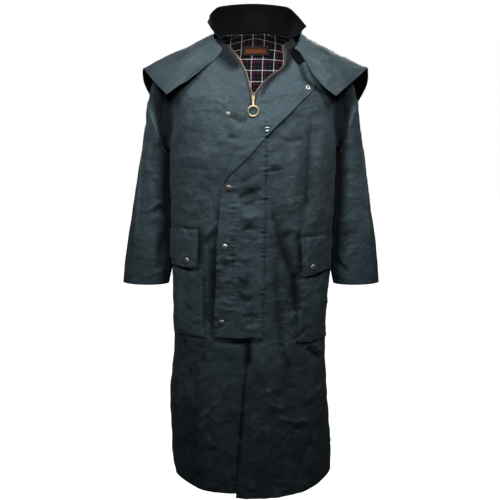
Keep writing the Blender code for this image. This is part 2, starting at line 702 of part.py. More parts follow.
def bar_along_x(shaped, radius, length, middle):
    """Adds a round bar along X to a mesh under way."""
    turn = Matrix.Rotation(np.pi / 2, 4, "Y")
    bmesh.ops.create_cone(shaped, cap_ends=True, segments=ROUND_SIDES, radius1=radius, radius2=radius,
                          depth=length, matrix=Matrix.Translation(middle) @ turn)


def joined(name, shapes, finish, cut=None):
    """One solid from overlapping shapes, less a cutter if given. Each shape is a function on a bmesh."""
    parts = []
    for index, shape in enumerate((*shapes, cut) if cut else shapes):
        shaped = bmesh.new()
        shape(shaped)
        bmesh.ops.scale(shaped, verts=shaped.verts, vec=(MM, MM, MM))
        bmesh.ops.recalc_face_normals(shaped, faces=shaped.faces)
        mesh = bpy.data.meshes.new(f"{name}_shape_{index}")
        shaped.to_mesh(mesh)
        shaped.free()
        parts.append(mesh)
    made = place(name, parts[0], finish)
    for index, mesh in enumerate(parts[1:], 1):
        helper = bpy.data.objects.new(mesh.name, mesh)
        bpy.context.scene.collection.objects.link(helper)
        helper.hide_render = True
        helper.display_type = "WIRE"
        step = made.modifiers.new(mesh.name, "BOOLEAN")
        step.operation = "DIFFERENCE" if cut and index == len(parts) - 1 else "UNION"
        step.object = helper
    return made


def make_zip_slider():
    """The slider's body on the closed zip, with two cheeks that carry the pull's pin."""
    seat = float(on_front(0, SLIDER_Z)[1])
    pin_y = float(on_front(0, PIN_Z)[1]) - PIN_OUT
    face = seat - SLIDER_OUT

    def base(shaped):
        middle = (0, face - SLIDER_DEPTH / 2, SLIDER_Z)
        block(shaped, (SLIDER_WIDTH, SLIDER_DEPTH, SLIDER_HEIGHT), middle)
        bmesh.ops.bevel(shaped, geom=shaped.edges[:], offset=SLIDER_BEVEL, offset_type="OFFSET",
                        segments=2, profile=0.5, affect="EDGES", material=-1)

    def cheek(side):
        depth = face - pin_y + PIN_RADIUS + CHEEK_OVER_PIN
        middle = (side * CHEEK_X, face - depth / 2, PIN_Z)
        return lambda shaped: block(shaped, (CHEEK_WIDTH, depth, CHEEK_HEIGHT), middle)

    def pin(shaped):
        bar_along_x(shaped, PIN_RADIUS, 2 * CHEEK_X, (0, pin_y, PIN_Z))

    joined("zip_slider", (base, cheek(RIGHT), cheek(LEFT), pin), "brass")


def make_zip_pull():
    """The ring pull: an eye round the slider's pin, a flat neck and a ring that lies on the cloth."""
    pin_y = float(on_front(0, PIN_Z)[1]) - PIN_OUT
    ring_y = float(on_front(0, RING_Z)[1]) - RING_OUT

    def eye(shaped):
        bar_along_x(shaped, EYE_RADIUS, EYE_WIDTH, (0, pin_y, PIN_Z))

    def neck(shaped):
        start = Vector((0, pin_y, PIN_Z))
        end = Vector((0, ring_y, RING_Z + RING_RADIUS))
        along = (end - start).normalized()
        made = bmesh.ops.create_cube(shaped, size=1)["verts"]
        length = (end - start).length - NECK_FROM_PIN + NECK_INTO_RING
        bmesh.ops.scale(shaped, verts=made, vec=(NECK_WIDTH, NECK_DEPTH, length))
        turn = Vector((0, 0, -1)).rotation_difference(along).to_matrix().to_4x4()
        middle = start + along * (NECK_FROM_PIN + length / 2)
        bmesh.ops.transform(shaped, verts=made, matrix=Matrix.Translation(middle) @ turn)

    def ring(shaped):
        section = bmesh.ops.create_circle(shaped, segments=WIRE_SIDES, radius=RING_WIRE)
        bmesh.ops.translate(shaped, verts=section["verts"], vec=(RING_RADIUS, 0, 0))
        bmesh.ops.rotate(shaped, verts=section["verts"], cent=(RING_RADIUS, 0, 0),
                         matrix=Matrix.Rotation(np.pi / 2, 3, "X"))
        bmesh.ops.spin(shaped, geom=shaped.edges[:], cent=(0, 0, 0), axis=(0, 0, 1), angle=2 * np.pi,
                       steps=RING_SIDES, use_merge=True)
        bmesh.ops.remove_doubles(shaped, verts=shaped.verts, dist=RING_MERGE)
        frame = Matrix.Translation((0, ring_y, RING_Z)) @ Matrix.Rotation(np.pi / 2, 4, "X")
        bmesh.ops.transform(shaped, verts=shaped.verts, matrix=frame)

    def bore(shaped):
        bar_along_x(shaped, EYE_BORE, 2 * EYE_WIDTH, (0, pin_y, PIN_Z))

    joined("zip_pull", (ring, neck, eye), "brass", cut=bore)


clear_scene()
MATERIALS = make_materials()
make_back()
make_label()
for garment_side in (RIGHT, LEFT):
    make_front(garment_side)
    make_sleeve(garment_side)
make_zip_tapes()
make_collar()
make_cape()
make_storm_flap()
make_throat_tab()
make_studs()
make_zip_slider()
make_zip_pull()
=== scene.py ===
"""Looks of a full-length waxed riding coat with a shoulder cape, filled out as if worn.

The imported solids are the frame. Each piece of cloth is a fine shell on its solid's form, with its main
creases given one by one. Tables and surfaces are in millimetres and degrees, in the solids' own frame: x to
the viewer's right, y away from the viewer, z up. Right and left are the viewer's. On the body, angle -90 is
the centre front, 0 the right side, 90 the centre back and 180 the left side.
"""

import logging
import math
from dataclasses import dataclass, field
from enum import Enum
from functools import cached_property, partial
from typing import Callable, NamedTuple, Optional, Sequence, Union

import bmesh
import bpy
import numpy as np
from mathutils import Matrix, Vector


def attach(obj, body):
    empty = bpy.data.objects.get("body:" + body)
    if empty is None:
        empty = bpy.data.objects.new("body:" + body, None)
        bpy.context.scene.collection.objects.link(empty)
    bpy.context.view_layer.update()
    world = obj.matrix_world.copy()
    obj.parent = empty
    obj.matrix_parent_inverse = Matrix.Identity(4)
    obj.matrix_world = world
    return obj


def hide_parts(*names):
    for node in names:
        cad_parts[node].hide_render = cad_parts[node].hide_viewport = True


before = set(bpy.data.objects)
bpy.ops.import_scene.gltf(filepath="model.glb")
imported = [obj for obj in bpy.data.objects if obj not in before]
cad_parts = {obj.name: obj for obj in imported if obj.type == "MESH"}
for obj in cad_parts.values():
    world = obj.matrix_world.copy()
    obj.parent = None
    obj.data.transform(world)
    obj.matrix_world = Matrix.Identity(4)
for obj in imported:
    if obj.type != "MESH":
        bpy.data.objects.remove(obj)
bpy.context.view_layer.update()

log = logging.getLogger("coat")
Array = np.ndarray
Number = Union[float, Array]
Pair = tuple[float, float]
Triple = tuple[float, float, float]
Colour = Triple
Path = tuple[Pair, ...]
BMesh = bmesh.types.BMesh

MM = 0.001
COAT = "coat"
UV_NAME = "cloth"
# Attribute holding wear and the light and shade painted into the cloth's colour.
WEAR_AND_PAINTED_SHADING_NAME = "rub"

# Thickness of the outer cloth and of thinner layers, gap at a seam, and how far a laid layer stands off.
WALL = 1.6
THIN = 1.2
SEAM = 0.35
LAID = 1.0
# Spacing of the panels' rows, width of a zip tape and level of the zip's foot.
ROW_STEP = 4.5
TAPE_WIDTH = 9
ZIP_FOOT = -775


class Side(Enum):
    """A side of the coat, as the viewer sees it."""

    RIGHT = 1
    LEFT = -1

    @property
    def word(self) -> str:
        """The side's name in a piece's name."""
        return self.name.lower()


class Face(Enum):
    """Which way a stretch of cloth looks."""

    FRONT = -1
    BACK = 1


class Ring(NamedTuple):
    """One level of the body."""

    level: float
    half_width: float
    front: float
    back: float
    shift: float
    square: float
    tilt_front: float
    tilt_back: float
    side_lift: float


class Fold(NamedTuple):
    """A long fold of the body, which the solids have too."""

    top_angle: float
    foot_angle: float
    top: float
    foot: float
    half_width: float
    depth: float


class EdgePoint(NamedTuple):
    """x of the two fronts' edges at a level."""

    level: float
    right: float
    left: float


class SleeveRing(NamedTuple):
    """One ring of a sleeve, in the plane of its inner and outer side."""

    station: float
    inner_x: float
    inner_z: float
    outer_x: float
    outer_z: float
    half_depth: float
    middle_y: float


class CollarPoint(NamedTuple):
    """A point of the collar's top edge."""

    angle: float
    x: float
    y: float
    z: float


class CapeSection(NamedTuple):
    """One section of the cape, from neck to hem."""

    station: float
    neck: Triple
    crest: Triple
    middle: Triple
    hem: Triple


class FlapEdge(NamedTuple):
    """x of the closed flap's two edges at a height."""

    z: float
    seam: float
    free: float


class FlapTurn(NamedTuple):
    """Fold and free edge of the turned flap."""

    station: float
    fold_x: float
    fold_z: float
    free_x: float
    free_z: float


class Pocket(NamedTuple):
    """Levels of a patch pocket and its flap."""

    side: Side
    flap_top: float
    bag_top: float
    flap_foot: float
    bag_foot: float


class Wave(NamedTuple):
    """One slow ripple of a cloth: its length along x, y and z, its phase and its height."""

    x: float
    y: float
    z: float
    phase: float
    height: float


def smooth(xs: Sequence[float], ys: Sequence[float], at: Number) -> Array:
    """Shape-preserving cubic through points.

    Args:
        xs: Places, rising.
        ys: Values at those places.
        at: Where to read the curve.

    Returns:
        The curve's values at those places.
    """
    xs, ys, at = (np.asarray(values, float) for values in (xs, ys, at))
    step = np.diff(xs)
    slope = np.diff(ys) / step
    product = slope[:-1] * slope[1:]
    total = np.where(product > 0, slope[:-1] + slope[1:], 1)
    bends = np.where(product > 0, 2 * product / total, 0)
    tangent = np.concatenate([slope[:1], bends, slope[-1:]])
    i = np.clip(np.searchsorted(xs, at) - 1, 0, len(step) - 1)
    t = np.clip((at - xs[i]) / step[i], 0, 1)
    start = (1 + 2 * t) * ys[i] + t * step[i] * tangent[i]
    end = (3 - 2 * t) * ys[i + 1] + (t - 1) * step[i] * tangent[i + 1]
    return (1 - t) ** 2 * start + t ** 2 * end


def read(table: Sequence[NamedTuple], column: str, at: Number) -> Array:
    """A named column of a table, read smoothly at values of the table's first column."""
    rows = sorted(table, key=lambda row: row[0])
    return smooth([row[0] for row in rows], [getattr(row, column) for row in rows], at)


def unit(vectors: Array) -> Array:
    """Vectors of length one."""
    return vectors / np.linalg.norm(vectors, axis=-1, keepdims=True)


def grid_normals(points: Array) -> Array:
    """Unit normals of a grid of points, columns by rows."""
    return unit(np.cross(np.gradient(points, axis=1), np.gradient(points, axis=0)))


@dataclass(frozen=True)
class Crease:
    """A soft ridge or trough along a line seen from the front or the back.

    Its far side is lean times as wide, so that a crease can have one steep flank. A further factor says how
    much more than its height it paints light or shade into the cloth's colour: lighter on a ridge, darker in
    a trough.
    """

    path: Path
    half_width: float
    height: float
    lean: float = 1.0
    face: Face = Face.FRONT
    # How much more than its height the crease paints light on a ridge and shade in a trough.
    stain: float = 1.0
    narrow: float = 8
    widths_felt: float = 4
    end_power: float = 0.7
    flank_power: float = 1.25

    @property
    def sharpness(self) -> float:
        """How much of its height is painted into the cloth's colour as light on a ridge and shade in a
        trough: narrow creases show most.
        """
        return self.stain * min(1.0, self.narrow / self.half_width)

    @property
    def reach(self) -> float:
        """How far from its line the crease can be felt."""
        return self.widths_felt * self.half_width

    def lift(self, x: Array, z: Array) -> Array:
        """How far the crease moves the cloth out.

        Args:
            x: Places across.
            z: Heights.

        Returns:
            The move along the cloth's normal.
        """
        path = np.array(self.path, float)
        steps = np.diff(path, axis=0)
        lengths = np.hypot(steps[:, 0], steps[:, 1])
        starts = np.concatenate([[0], np.cumsum(lengths)])
        nearest = np.full(x.shape, np.inf)
        along, flank = np.zeros(x.shape), np.zeros(x.shape)
        for start, step, length, before in zip(path, steps, lengths, starts):
            from_x, from_z = x - start[0], z - start[1]
            share = np.clip((from_x * step[0] + from_z * step[1]) / length ** 2, 0, 1)
            distance = np.hypot(from_x - share * step[0], from_z - share * step[1])
            closer = distance < nearest
            nearest = np.where(closer, distance, nearest)
            along = np.where(closer, (before + share * length) / starts[-1], along)
            flank = np.where(closer, step[0] * from_z - step[1] * from_x, flank)
        width = np.where(flank > 0, self.half_width, self.half_width * self.lean)
        ends = np.sin(np.pi * along) ** self.end_power
        return self.height * ends * np.exp(-(nearest / width) ** self.flank_power)


@dataclass(frozen=True)
class Pucker:
    """Short gathers across a sewn line, fading away from it."""

    path: Path
    pitch: float
    fade: float
    height: float
    face: Face = Face.FRONT
    # Share of the gathers' lift painted into the cloth's colour as light and shade.
    sharpness: float = 1.3
    fades_felt: float = 3
    drift: Pair = (1.7, 1.3)
    swell: Triple = (0.65, 0.35, 0.73)

    @property
    def reach(self) -> float:
        """How far from its line the gathers can be felt."""
        return self.fades_felt * self.fade

    def lift(self, x: Array, z: Array) -> Array:
        """How far the gathers move the cloth out, at places across and heights."""
        path = np.array(self.path, float)
        total = np.zeros(x.shape)
        drift, drift_rate = self.drift
        mean, swell, swell_rate = self.swell
        for start, end in zip(path[:-1], path[1:]):
            step = end - start
            length = math.hypot(*step)
            share = ((x - start[0]) * step[0] + (z - start[1]) * step[1]) / length ** 2
            inside = (share >= 0) & (share <= 1)
            distance = np.abs((x - start[0]) * step[1] - (z - start[1]) * step[0]) / length
            turns = share * length / self.pitch
            phase = 2 * np.pi * turns + drift * np.sin(drift_rate * turns)
            uneven = np.sin(phase) * (mean + swell * np.sin(swell_rate * turns))
            total = np.where(inside, self.height * uneven * np.exp(-(distance / self.fade) ** 2), total)
        return total


@dataclass(frozen=True)
class Crinkles:
    """Short soft creases strewn over a face of the cloth, uneven in length, depth and turn.

    Slope is their mean turn from level in degrees, and spread how far they turn from it.
    """

    seed: int
    count: int
    left: float
    right: float
    foot: float
    top: float
    slope: float = 0
    spread: float = 70
    height: float = 1.0
    face: Face = Face.FRONT
    half_length: Pair = (8, 30)
    bow: float = 0.35
    height_share: Pair = (0.35, 1.0)
    least_half_width: float = 3
    width_share: Pair = (0.05, 0.2)
    lean: Pair = (0.5, 1.0)

    def creases(self) -> tuple[Crease, ...]:
        """The creases, the same on each run."""
        draw = np.random.default_rng(self.seed)
        made = []
        for _ in range(self.count):
            middle = np.array((draw.uniform(self.left, self.right), draw.uniform(self.foot, self.top)))
            turn = math.radians(self.slope + self.spread * draw.uniform(-1, 1))
            half = draw.uniform(*self.half_length)
            run = half * np.array((math.cos(turn), math.sin(turn)))
            bend = middle + draw.uniform(-self.bow, self.bow) * np.array((-run[1], run[0]))
            path = tuple((float(x), float(z)) for x, z in (middle - run, bend, middle + run))
            height = self.height * draw.uniform(*self.height_share) * draw.choice((-1.0, 1.0))
            half_width = self.least_half_width + half * draw.uniform(*self.width_share)
            made.append(Crease(path, half_width, height, draw.uniform(*self.lean), self.face))
        return tuple(made)


@dataclass(frozen=True)
class Relief:
    """All that lifts a cloth off its plain form: creases, gathers and slow ripples."""

    creases: tuple[Crease, ...] = ()
    puckers: tuple[Pucker, ...] = ()
    crinkles: tuple[Crinkles, ...] = ()
    waves: tuple[Wave, ...] = (
        Wave(170, 90, 95, 0.4, 0.55), Wave(-120, 140, 61, 2.1, 0.42), Wave(83, 70, -150, 4.0, 0.38),
        Wave(47, -52, 66, 1.2, 0.22), Wave(-39, 60, 43, 5.1, 0.18), Wave(300, 260, -210, 3.3, 0.8),
    )
    turn_depth: float = 40
    gain: float = 1.7

    @cached_property
    def marks(self) -> list[tuple["Crease | Pucker", Array, Array]]:
        """Each crease and gather, with the lowest and highest corner of where it can be felt."""
        short = [crease for strewn in self.crinkles for crease in strewn.creases()]
        found = (*self.creases, *self.puckers, *short)
        return [(mark, np.min(mark.path, axis=0) - mark.reach, np.max(mark.path, axis=0) + mark.reach)
                for mark in found]

    def creased(self, points: Array, middle_y: Number = 0.0) -> tuple[Array, Array]:
        """Lift of the creases and gathers, and the light and shade they paint into the cloth's colour.

        Args:
            points: Points of the plain form.
            middle_y: Depth that parts the front from the back.

        Returns:
            The lift at each point, and the painted shading: the same lift with narrow creases counted most,
            lighter on ridges and darker in troughs.
        """
        x, z = points[..., 0], points[..., 2]
        left, right, foot, top = x.min(), x.max(), z.min(), z.max()
        total, rub = np.zeros(x.shape), np.zeros(x.shape)
        behind = points[..., 1] - middle_y
        facing = {face: np.clip(behind * face.value / self.turn_depth, 0, 1) for face in Face}
        for mark, low, high in self.marks:
            if low[0] > right or high[0] < left or low[1] > top or high[1] < foot:
                continue
            near = (x > low[0]) & (x < high[0]) & (z > low[1]) & (z < high[1]) & (facing[mark.face] > 0)
            if near.any():
                lift = facing[mark.face][near] * mark.lift(x[near], z[near]) * self.gain
                total[near] += lift
                # Painted highlight on ridges and painted shade in troughs, in step with the lift.
                rub[near] += lift * mark.sharpness
        return total, rub

    def rippled(self, points: Array) -> Array:
        """Lift of the slow ripples at each point."""
        total = np.zeros(points.shape[:-1])
        for wave in self.waves:
            turns = points @ (2 * np.pi / np.array(wave[:3]))
            total = total + wave.height * np.sin(turns + wave.phase)
        return total


class Cloth(NamedTuple):
    """A grid of points on a cloth's outer face, and the wear and painted light and shade there, mostly from
    its creases' lift.
    """

    points: Array
    rub: Array


BODY_RINGS = (
    Ring(-6, 95, 72, 85, 3, 2.0, 30, 15, 0),
    Ring(-22, 132, 84, 104, 3, 2.05, 24, 10, 0),
    Ring(-45, 178, 95, 118, 2, 2.1, 16, 6, 0),
    Ring(-72, 216, 104, 126, 1, 2.2, 8, 2, 0),
    Ring(-100, 227, 113, 131, 0, 2.3, 3, 0, 0),
    Ring(-165, 231, 135, 136, 0, 2.35, 0, 0, 0),
    Ring(-250, 230, 150, 139, 0, 2.35, 0, 0, 0),
    Ring(-320, 229, 156, 138, 0, 2.35, 0, 0, 0),
    Ring(-420, 228, 152, 132, -2, 2.35, 0, 0, 0),
    Ring(-540, 224, 150, 130, -4, 2.35, 0, 0, 0),
    Ring(-640, 219, 151, 134, -6, 2.35, 0, 0, 0),
    Ring(-700, 215, 154, 140, -7, 2.35, 0, 0, 0),
    Ring(-840, 213, 162, 156, -10, 2.35, 0, 0, 0),
    Ring(-1000, 224, 170, 168, -12, 2.3, 0, 0, 0),
    Ring(-1175, 228, 178, 178, -3, 2.25, 0, 0, 2),
    Ring(-1244, 224, 180, 180, -1, 2.25, 0, 0, 26),
)
BODY_FOLDS = (
    Fold(-78, -56, -480, -830, 9, 6),
    Fold(-44, -48, -840, -1320, 10, 7),
    Fold(-70, -72, -900, -1320, 9, -4),
    Fold(-118, -124, -830, -1320, 10, 7),
    Fold(-148, -144, -880, -1320, 9, -5),
    Fold(62, 58, -620, -1320, 12, 8),
    Fold(90, 90, -420, -860, 15, -5),
    Fold(118, 124, -680, -1320, 12, 8),
)
BODY_CREASES = (
    Crease(((-64, -211), (-44, -221), (-25, -234)), 7, -3, 0.6),
    Crease(((-59, -227), (-25, -245)), 8, 1.6),
    Crease(((-72, -265), (-33, -268)), 6, -3, 0.6),
    Crease(((-65, -278), (-33, -281)), 9, 1.6),
    Crease(((-206, -320), (-164, -314), (-122, -322)), 9, 1.2),
    Crease(((-196, -351), (-148, -346), (-107, -356)), 11, -1.4),
    Crease(((-210, -289), (-179, -281)), 9, -1.2),
    Crease(((-94, -485), (-113, -507), (-129, -536)), 8, 2.6, 0.6),
    Crease(((-94, -512), (-116, -531), (-132, -555)), 10, -3.4, 0.7),
    # The next four paint broad shade and light: darker beside the storm flap's free edge, right of its seam
    # and on its right half, and lighter down the left pocket's outer side.
    Crease(((-113, -558), (-112, -658), (-122, -800)), 18, -4, stain=1.7),
    Crease(((58, -540), (60, -640), (74, -800), (96, -900)), 15, -2.2, stain=1.8),
    Crease(((-8, -510), (-12, -610), (-20, -780)), 24, -1.0, stain=3),
    Crease(((-196, -630), (-194, -700), (-198, -795)), 15, 1.4, stain=3),
    Crease(((-129, -552), (-125, -671), (-133, -767)), 12, 2.4),
    Crease(((156, -201), (149, -299), (142, -430), (133, -525)), 20, -6, 0.7),
    Crease(((179, -216), (175, -325), (170, -499)), 20, 4),
    Crease(((112, -273), (108, -377), (98, -467)), 24, 3),
    Crease(((37, -356), (58, -351), (84, -348)), 6, -2.6, 0.7),
    Crease(((40, -335), (71, -330)), 7, 1.4),
    # A long fold whose trough is darkened further: painted shade.
    Crease(((45, -430), (56, -488), (75, -552), (104, -633), (119, -748)), 14, -4.5, 0.8, stain=1.8),
    Crease(((75, -536), (98, -520), (109, -515)), 8, -3, 0.8),
    Crease(((37, -438), (45, -488), (59, -547)), 10, 2.6),
    Crease(((50, -265), (97, -276), (138, -270)), 8, -1.5),
    Crease(((-44, -446), (-7, -438), (24, -425)), 12, -3),
    Crease(((-36, -470), (-7, -475), (16, -464)), 14, 3.4, 0.8),
    Crease(((-34, -515), (-13, -504), (14, -512)), 9, -2.4, 0.7),
    Crease(((-82, -579), (-55, -593)), 5, 1.8, 0.7),
    Crease(((-90, -595), (-63, -606), (-52, -601)), 5, -1.8),
    Crease(((-44, -574), (-18, -587), (14, -579)), 8, 1.8, 0.8),
    Crease(((-93, -652), (-66, -641), (-53, -647)), 6, 2.2, 0.7),
    Crease(((-45, -636), (-26, -652), (-18, -677)), 7, -2.4, 0.7),
    Crease(((-13, -611), (9, -633), (25, -671)), 9, 2, 0.8),
    Crease(((-93, -698), (-66, -707), (-47, -698)), 6, 2, 0.7),
    Crease(((-50, -688), (-18, -698), (9, -688)), 8, -2, 0.8),
    Crease(((-85, -729), (-58, -723), (-15, -734)), 6, 2, 0.6),
    Crease(((-34, -745), (-2, -737), (20, -748)), 7, -2, 0.8),
    Crease(((-98, -748), (-72, -756), (-45, -748)), 5, -1.8, 0.8),
    Crease(((-34, -770), (-2, -775), (25, -767)), 6, 1.8, 0.8),
    Crease(((31, -940), (55, -951)), 6, 2, 0.6),
    Crease(((42, -971), (58, -985), (83, -1002)), 8, 2.2, 0.7),
    Crease(((64, -1019), (88, -1027), (110, -1036)), 6, 2.8, 0.5),
    Crease(((110, -1036), (129, -1033), (154, -1044)), 6, 2.8, 0.5),
    Crease(((86, -1044), (107, -1050), (146, -1064)), 9, -2.4, 0.8),
    Crease(((104, -1010), (110, -1039), (102, -1070)), 6, 1.6, 0.8),
    Crease(((144, -836), (168, -858), (190, -881)), 7, -4, 0.6),
    Crease(((152, -817), (176, -842), (193, -870)), 8, 2.6, 0.8),
    Crease(((134, -1005), (161, -988), (189, -993)), 9, -1.6),
    Crease(((-139, -1064), (-130, -1016), (-111, -988), (-92, -974)), 7, 2, 0.6),
    Crease(((-152, -1044), (-133, -1062)), 6, 1.6, 0.7),
    Crease(((-59, -991), (-40, -1010), (-29, -988)), 7, 1.6, 0.8),
    Crease(((-161, -822), (-157, -976), (-172, -1177)), 16, -2.6),
    Crease(((-193, -836), (-203, -1005), (-194, -1133)), 14, 2.6),
    Crease(((-96, -864), (-100, -1033), (-90, -1177)), 16, 2),
    Crease(((25, -822), (42, -976), (37, -1177)), 18, 2.2),
    Crease(((90, -836), (101, -948)), 14, -2.2),
    Crease(((-206, -797), (-188, -825), (-191, -853)), 7, -2.4, 0.8),
    Crease(((-147, -803), (-125, -781), (-120, -748)), 8, 2, 0.8),
    Crease(((157, -1090), (130, -1154), (142, -1212)), 14, -2.4),
    Crease(((75, -1125), (103, -1171), (92, -1229)), 13, 2),
    Crease(((-150, -380), (-60, -420), (30, -410)), 16, 2.4, 1, Face.BACK),
    Crease(((140, -420), (70, -470), (-20, -480)), 14, -2.6, 0.8, Face.BACK),
    Crease(((-130, -520), (-40, -540), (40, -525)), 12, 2.2, 0.7, Face.BACK),
    Crease(((110, -560), (150, -640), (140, -760)), 16, -2.8, 1, Face.BACK),
    Crease(((-160, -600), (-150, -720), (-170, -840)), 16, 2.6, 1, Face.BACK),
    Crease(((20, -620), (70, -650), (120, -640)), 10, 2.0, 0.7, Face.BACK),
    Crease(((-60, -760), (-20, -900), (-40, -1060)), 20, -2.4, 1, Face.BACK),
    Crease(((60, -860), (90, -1000), (70, -1180)), 18, 2.6, 1, Face.BACK),
    Crease(((-120, -940), (-90, -968), (-70, -960)), 8, 2.2, 0.6, Face.BACK),
    Crease(((120, -1040), (150, -1064), (160, -1100)), 9, -2.4, 0.7, Face.BACK),
)
LEFT_SLEEVE_CREASES = (
    Crease(((-284, -139), (-289, -233), (-307, -376), (-319, -515), (-331, -620)), 8, 3.4, 0.7),
    Crease(((-238, -190), (-236, -300), (-234, -430), (-234, -590)), 10, -4.5),
    Crease(((-290, -160), (-272, -213), (-247, -285)), 8, 4, 0.7),
    Crease(((-270, -160), (-253, -205), (-238, -262)), 12, -4),
    Crease(((-290, -331), (-278, -401), (-285, -478)), 14, 2),
    Crease(((-290, -478), (-265, -450), (-241, -439)), 7, 2.6, 0.6),
    Crease(((-274, -478), (-252, -461), (-233, -478)), 8, -3, 0.8),
    Crease(((-285, -505), (-260, -483), (-236, -500)), 7, 2, 0.7),
    Crease(((-239, -505), (-254, -572), (-266, -638)), 12, -4, 0.8),
    Crease(((-275, -527), (-281, -594), (-277, -650)), 12, 2.2),
    Crease(((-288, -652), (-263, -638), (-235, -633)), 6, 2, 0.7),
    Crease(((-316, -538), (-323, -599), (-332, -650)), 12, -2),
    Crease(((-277, -304), (-249, -293), (-228, -304)), 8, -2, 0.8),
    Crease(((-290, -280), (-262, -320), (-240, -330)), 10, -2.6, 0.8, Face.BACK),
    Crease(((-300, -420), (-270, -440), (-244, -425)), 9, 2.4, 0.7, Face.BACK),
    Crease(((-310, -480), (-272, -470), (-246, -495)), 9, -3.0, 0.8, Face.BACK),
    Crease(((-292, -540), (-300, -600), (-290, -650)), 13, 2.2, 1, Face.BACK),
)
RIGHT_SLEEVE_CREASES = (
    Crease(((286, -139), (291, -233), (305, -376), (316, -515), (326, -620)), 8, 3.0, 1.4),
    Crease(((236, -190), (233, -300), (230, -430), (227, -590)), 10, -4.5),
    Crease(((290, -156), (270, -203), (244, -268)), 8, 4, 1.4),
    Crease(((268, -156), (250, -200), (236, -250)), 12, -4),
    Crease(((267, -304), (263, -385), (275, -456)), 14, 2),
    Crease(((231, -374), (252, -363), (279, -372)), 7, -1.8, 0.8),
    Crease(((230, -505), (260, -489), (287, -497)), 8, 2, 0.7),
    Crease(((239, -544), (266, -527), (293, -533)), 8, -2, 0.8),
    Crease(((272, -560), (259, -599), (243, -627)), 7, 2.6, 0.6),
    Crease(((228, -599), (245, -622), (262, -638)), 7, -4, 0.7),
    Crease(((222, -516), (225, -572), (229, -633)), 10, -3),
    Crease(((239, -583), (242, -610), (259, -633)), 5, 1.6, 0.6),
    Crease(((310, -538), (319, -594), (325, -638)), 12, -1.8),
    Crease(((284, -290), (262, -310), (240, -345)), 10, 2.4, 0.8, Face.BACK),
    Crease(((302, -410), (272, -428), (246, -440)), 9, -2.8, 0.7, Face.BACK),
    Crease(((308, -470), (276, -488), (250, -478)), 9, 2.6, 0.8, Face.BACK),
    Crease(((296, -560), (282, -610), (288, -655)), 12, -2.2, 1, Face.BACK),
)
# Troughs beside the edges and seams of the storm flap, pockets, vent, turned flap, cape and collar; the
# darkening they put in the cloth's colour is painted shadow, and the ones with a large last factor are little
# more than painted shadow.
EDGE_SHADOW_CREASES = (
    Crease(((-111, -812), (-100, -554), (-83, -390)), 11, -4.6, 0.15),
    Crease(((30, -809), (-40, -812), (-108, -811)), 9, -3.6, 0.2),
    Crease(((33, -150), (33, -326), (32, -400), (29, -554), (25, -815)), 4, -1.4),
    Crease(((-52, -405), (-53, -560), (-55, -750)), 4, -1.2),
    Crease(((-146, -500), (-147, -560), (-151, -632)), 10, -4.6, 0.15, stain=1.6),
    Crease(((-150, -622), (-178, -622), (-218, -616)), 7, -3.4, 0.2),
    Crease(((-131, -605), (-132, -700), (-137, -806)), 5, -1.8),
    Crease(((-137, -803), (-170, -805), (-212, -800)), 5, -2.2),
    Crease(((-139, -510), (-175, -511), (-217, -508)), 4, -2.4),
    Crease(((133, -652), (129, -580), (125, -514)), 11, -5.0, 0.15, stain=1.6),
    Crease(((206, -630), (168, -640), (129, -641)), 8, -4.2, 0.2),
    Crease(((112, -590), (114, -700), (120, -830)), 5, -2.0),
    Crease(((118, -828), (150, -828), (200, -820)), 5, -2.4),
    Crease(((104, -530), (150, -530), (210, -526)), 4, -2.4),
    Crease(((-14, -800), (-20, -880), (-34, -1060), (-48, -1250)), 6, -3.0),
    # Painted shadow in the vent's opening below the flap.
    Crease(((-13, -815), (-13, -840), (-15, -874)), 6, -0.6, stain=16),
    Crease(((-44, -425), (-7, -412), (27, -400)), 14, -6.5),
    Crease(((-50, -392), (-10, -372), (27, -352)), 12, -3.0),
    # Painted shadow under the cape's front edges, at the collar's foot and beside the zip's right track.
    Crease(((-88, -14), (-104, -44), (-149, -93), (-191, -129), (-240, -165)), 8, -3.0, stain=2.4),
    Crease(((-104, -20), (-80, -40), (-58, -60), (-36, -92)), 18, -1.6, stain=14),
    Crease(((106, -30), (119, -70), (137, -119), (166, -142), (216, -166)), 7, -3.0, stain=1.5),
    Crease(((90, -8), (96, -60), (84, -86), (60, -104), (36, -130), (14, -172)), 7, -2.2, stain=3),
    Crease(((70, -24), (98, -32), (130, -48)), 18, -1.6, stain=14),
)
BODY_PUCKERS = (
    Pucker(((33, -150), (33, -326), (32, -400), (29, -554), (25, -800)), 10, 9, 1.4),
    Pucker(((-52, -420), (-53, -560), (-55, -735)), 12, 10, 1.1),
    Pucker(((-80, -400), (-95, -554), (-105, -790)), 17, 7, 0.6),
    Pucker(((-90, -545), (-97, -700), (-101, -806)), 19, 8, 0.5),
    Pucker(((112, -560), (117, -700), (121, -822)), 18, 8, 0.5),
    Pucker(((-180, -1262), (-90, -1250), (0, -1240)), 34, 16, 0.8),
    Pucker(((0, -1240), (100, -1246), (190, -1258)), 31, 16, 0.8),
)
BODY_CRINKLES = (
    Crinkles(11, 190, -225, 225, -430, -90, 10, 75, 0.9),
    Crinkles(12, 260, -225, 225, -830, -430, 35, 80, 1.3),
    Crinkles(13, 210, -225, 225, -1250, -830, 85, 55, 1.4),
    Crinkles(14, 420, -225, 225, -1250, -260, 40, 90, 1.0, Face.BACK),
)
SLEEVE_CRINKLES = {
    Side.RIGHT: (Crinkles(21, 130, 228, 352, -670, -110, 20, 75, 0.8),
                 Crinkles(22, 110, 228, 352, -670, -110, 20, 75, 0.8, Face.BACK)),
    Side.LEFT: (Crinkles(23, 130, -352, -228, -670, -110, -20, 75, 0.8),
                Crinkles(24, 110, -352, -228, -670, -110, -20, 75, 0.8, Face.BACK)),
}
CAPE_CRINKLES = (
    Crinkles(31, 130, -265, 265, -180, 0, 0, 80, 0.8),
    Crinkles(32, 190, -260, 260, -310, 0, 20, 90, 0.9, Face.BACK),
)
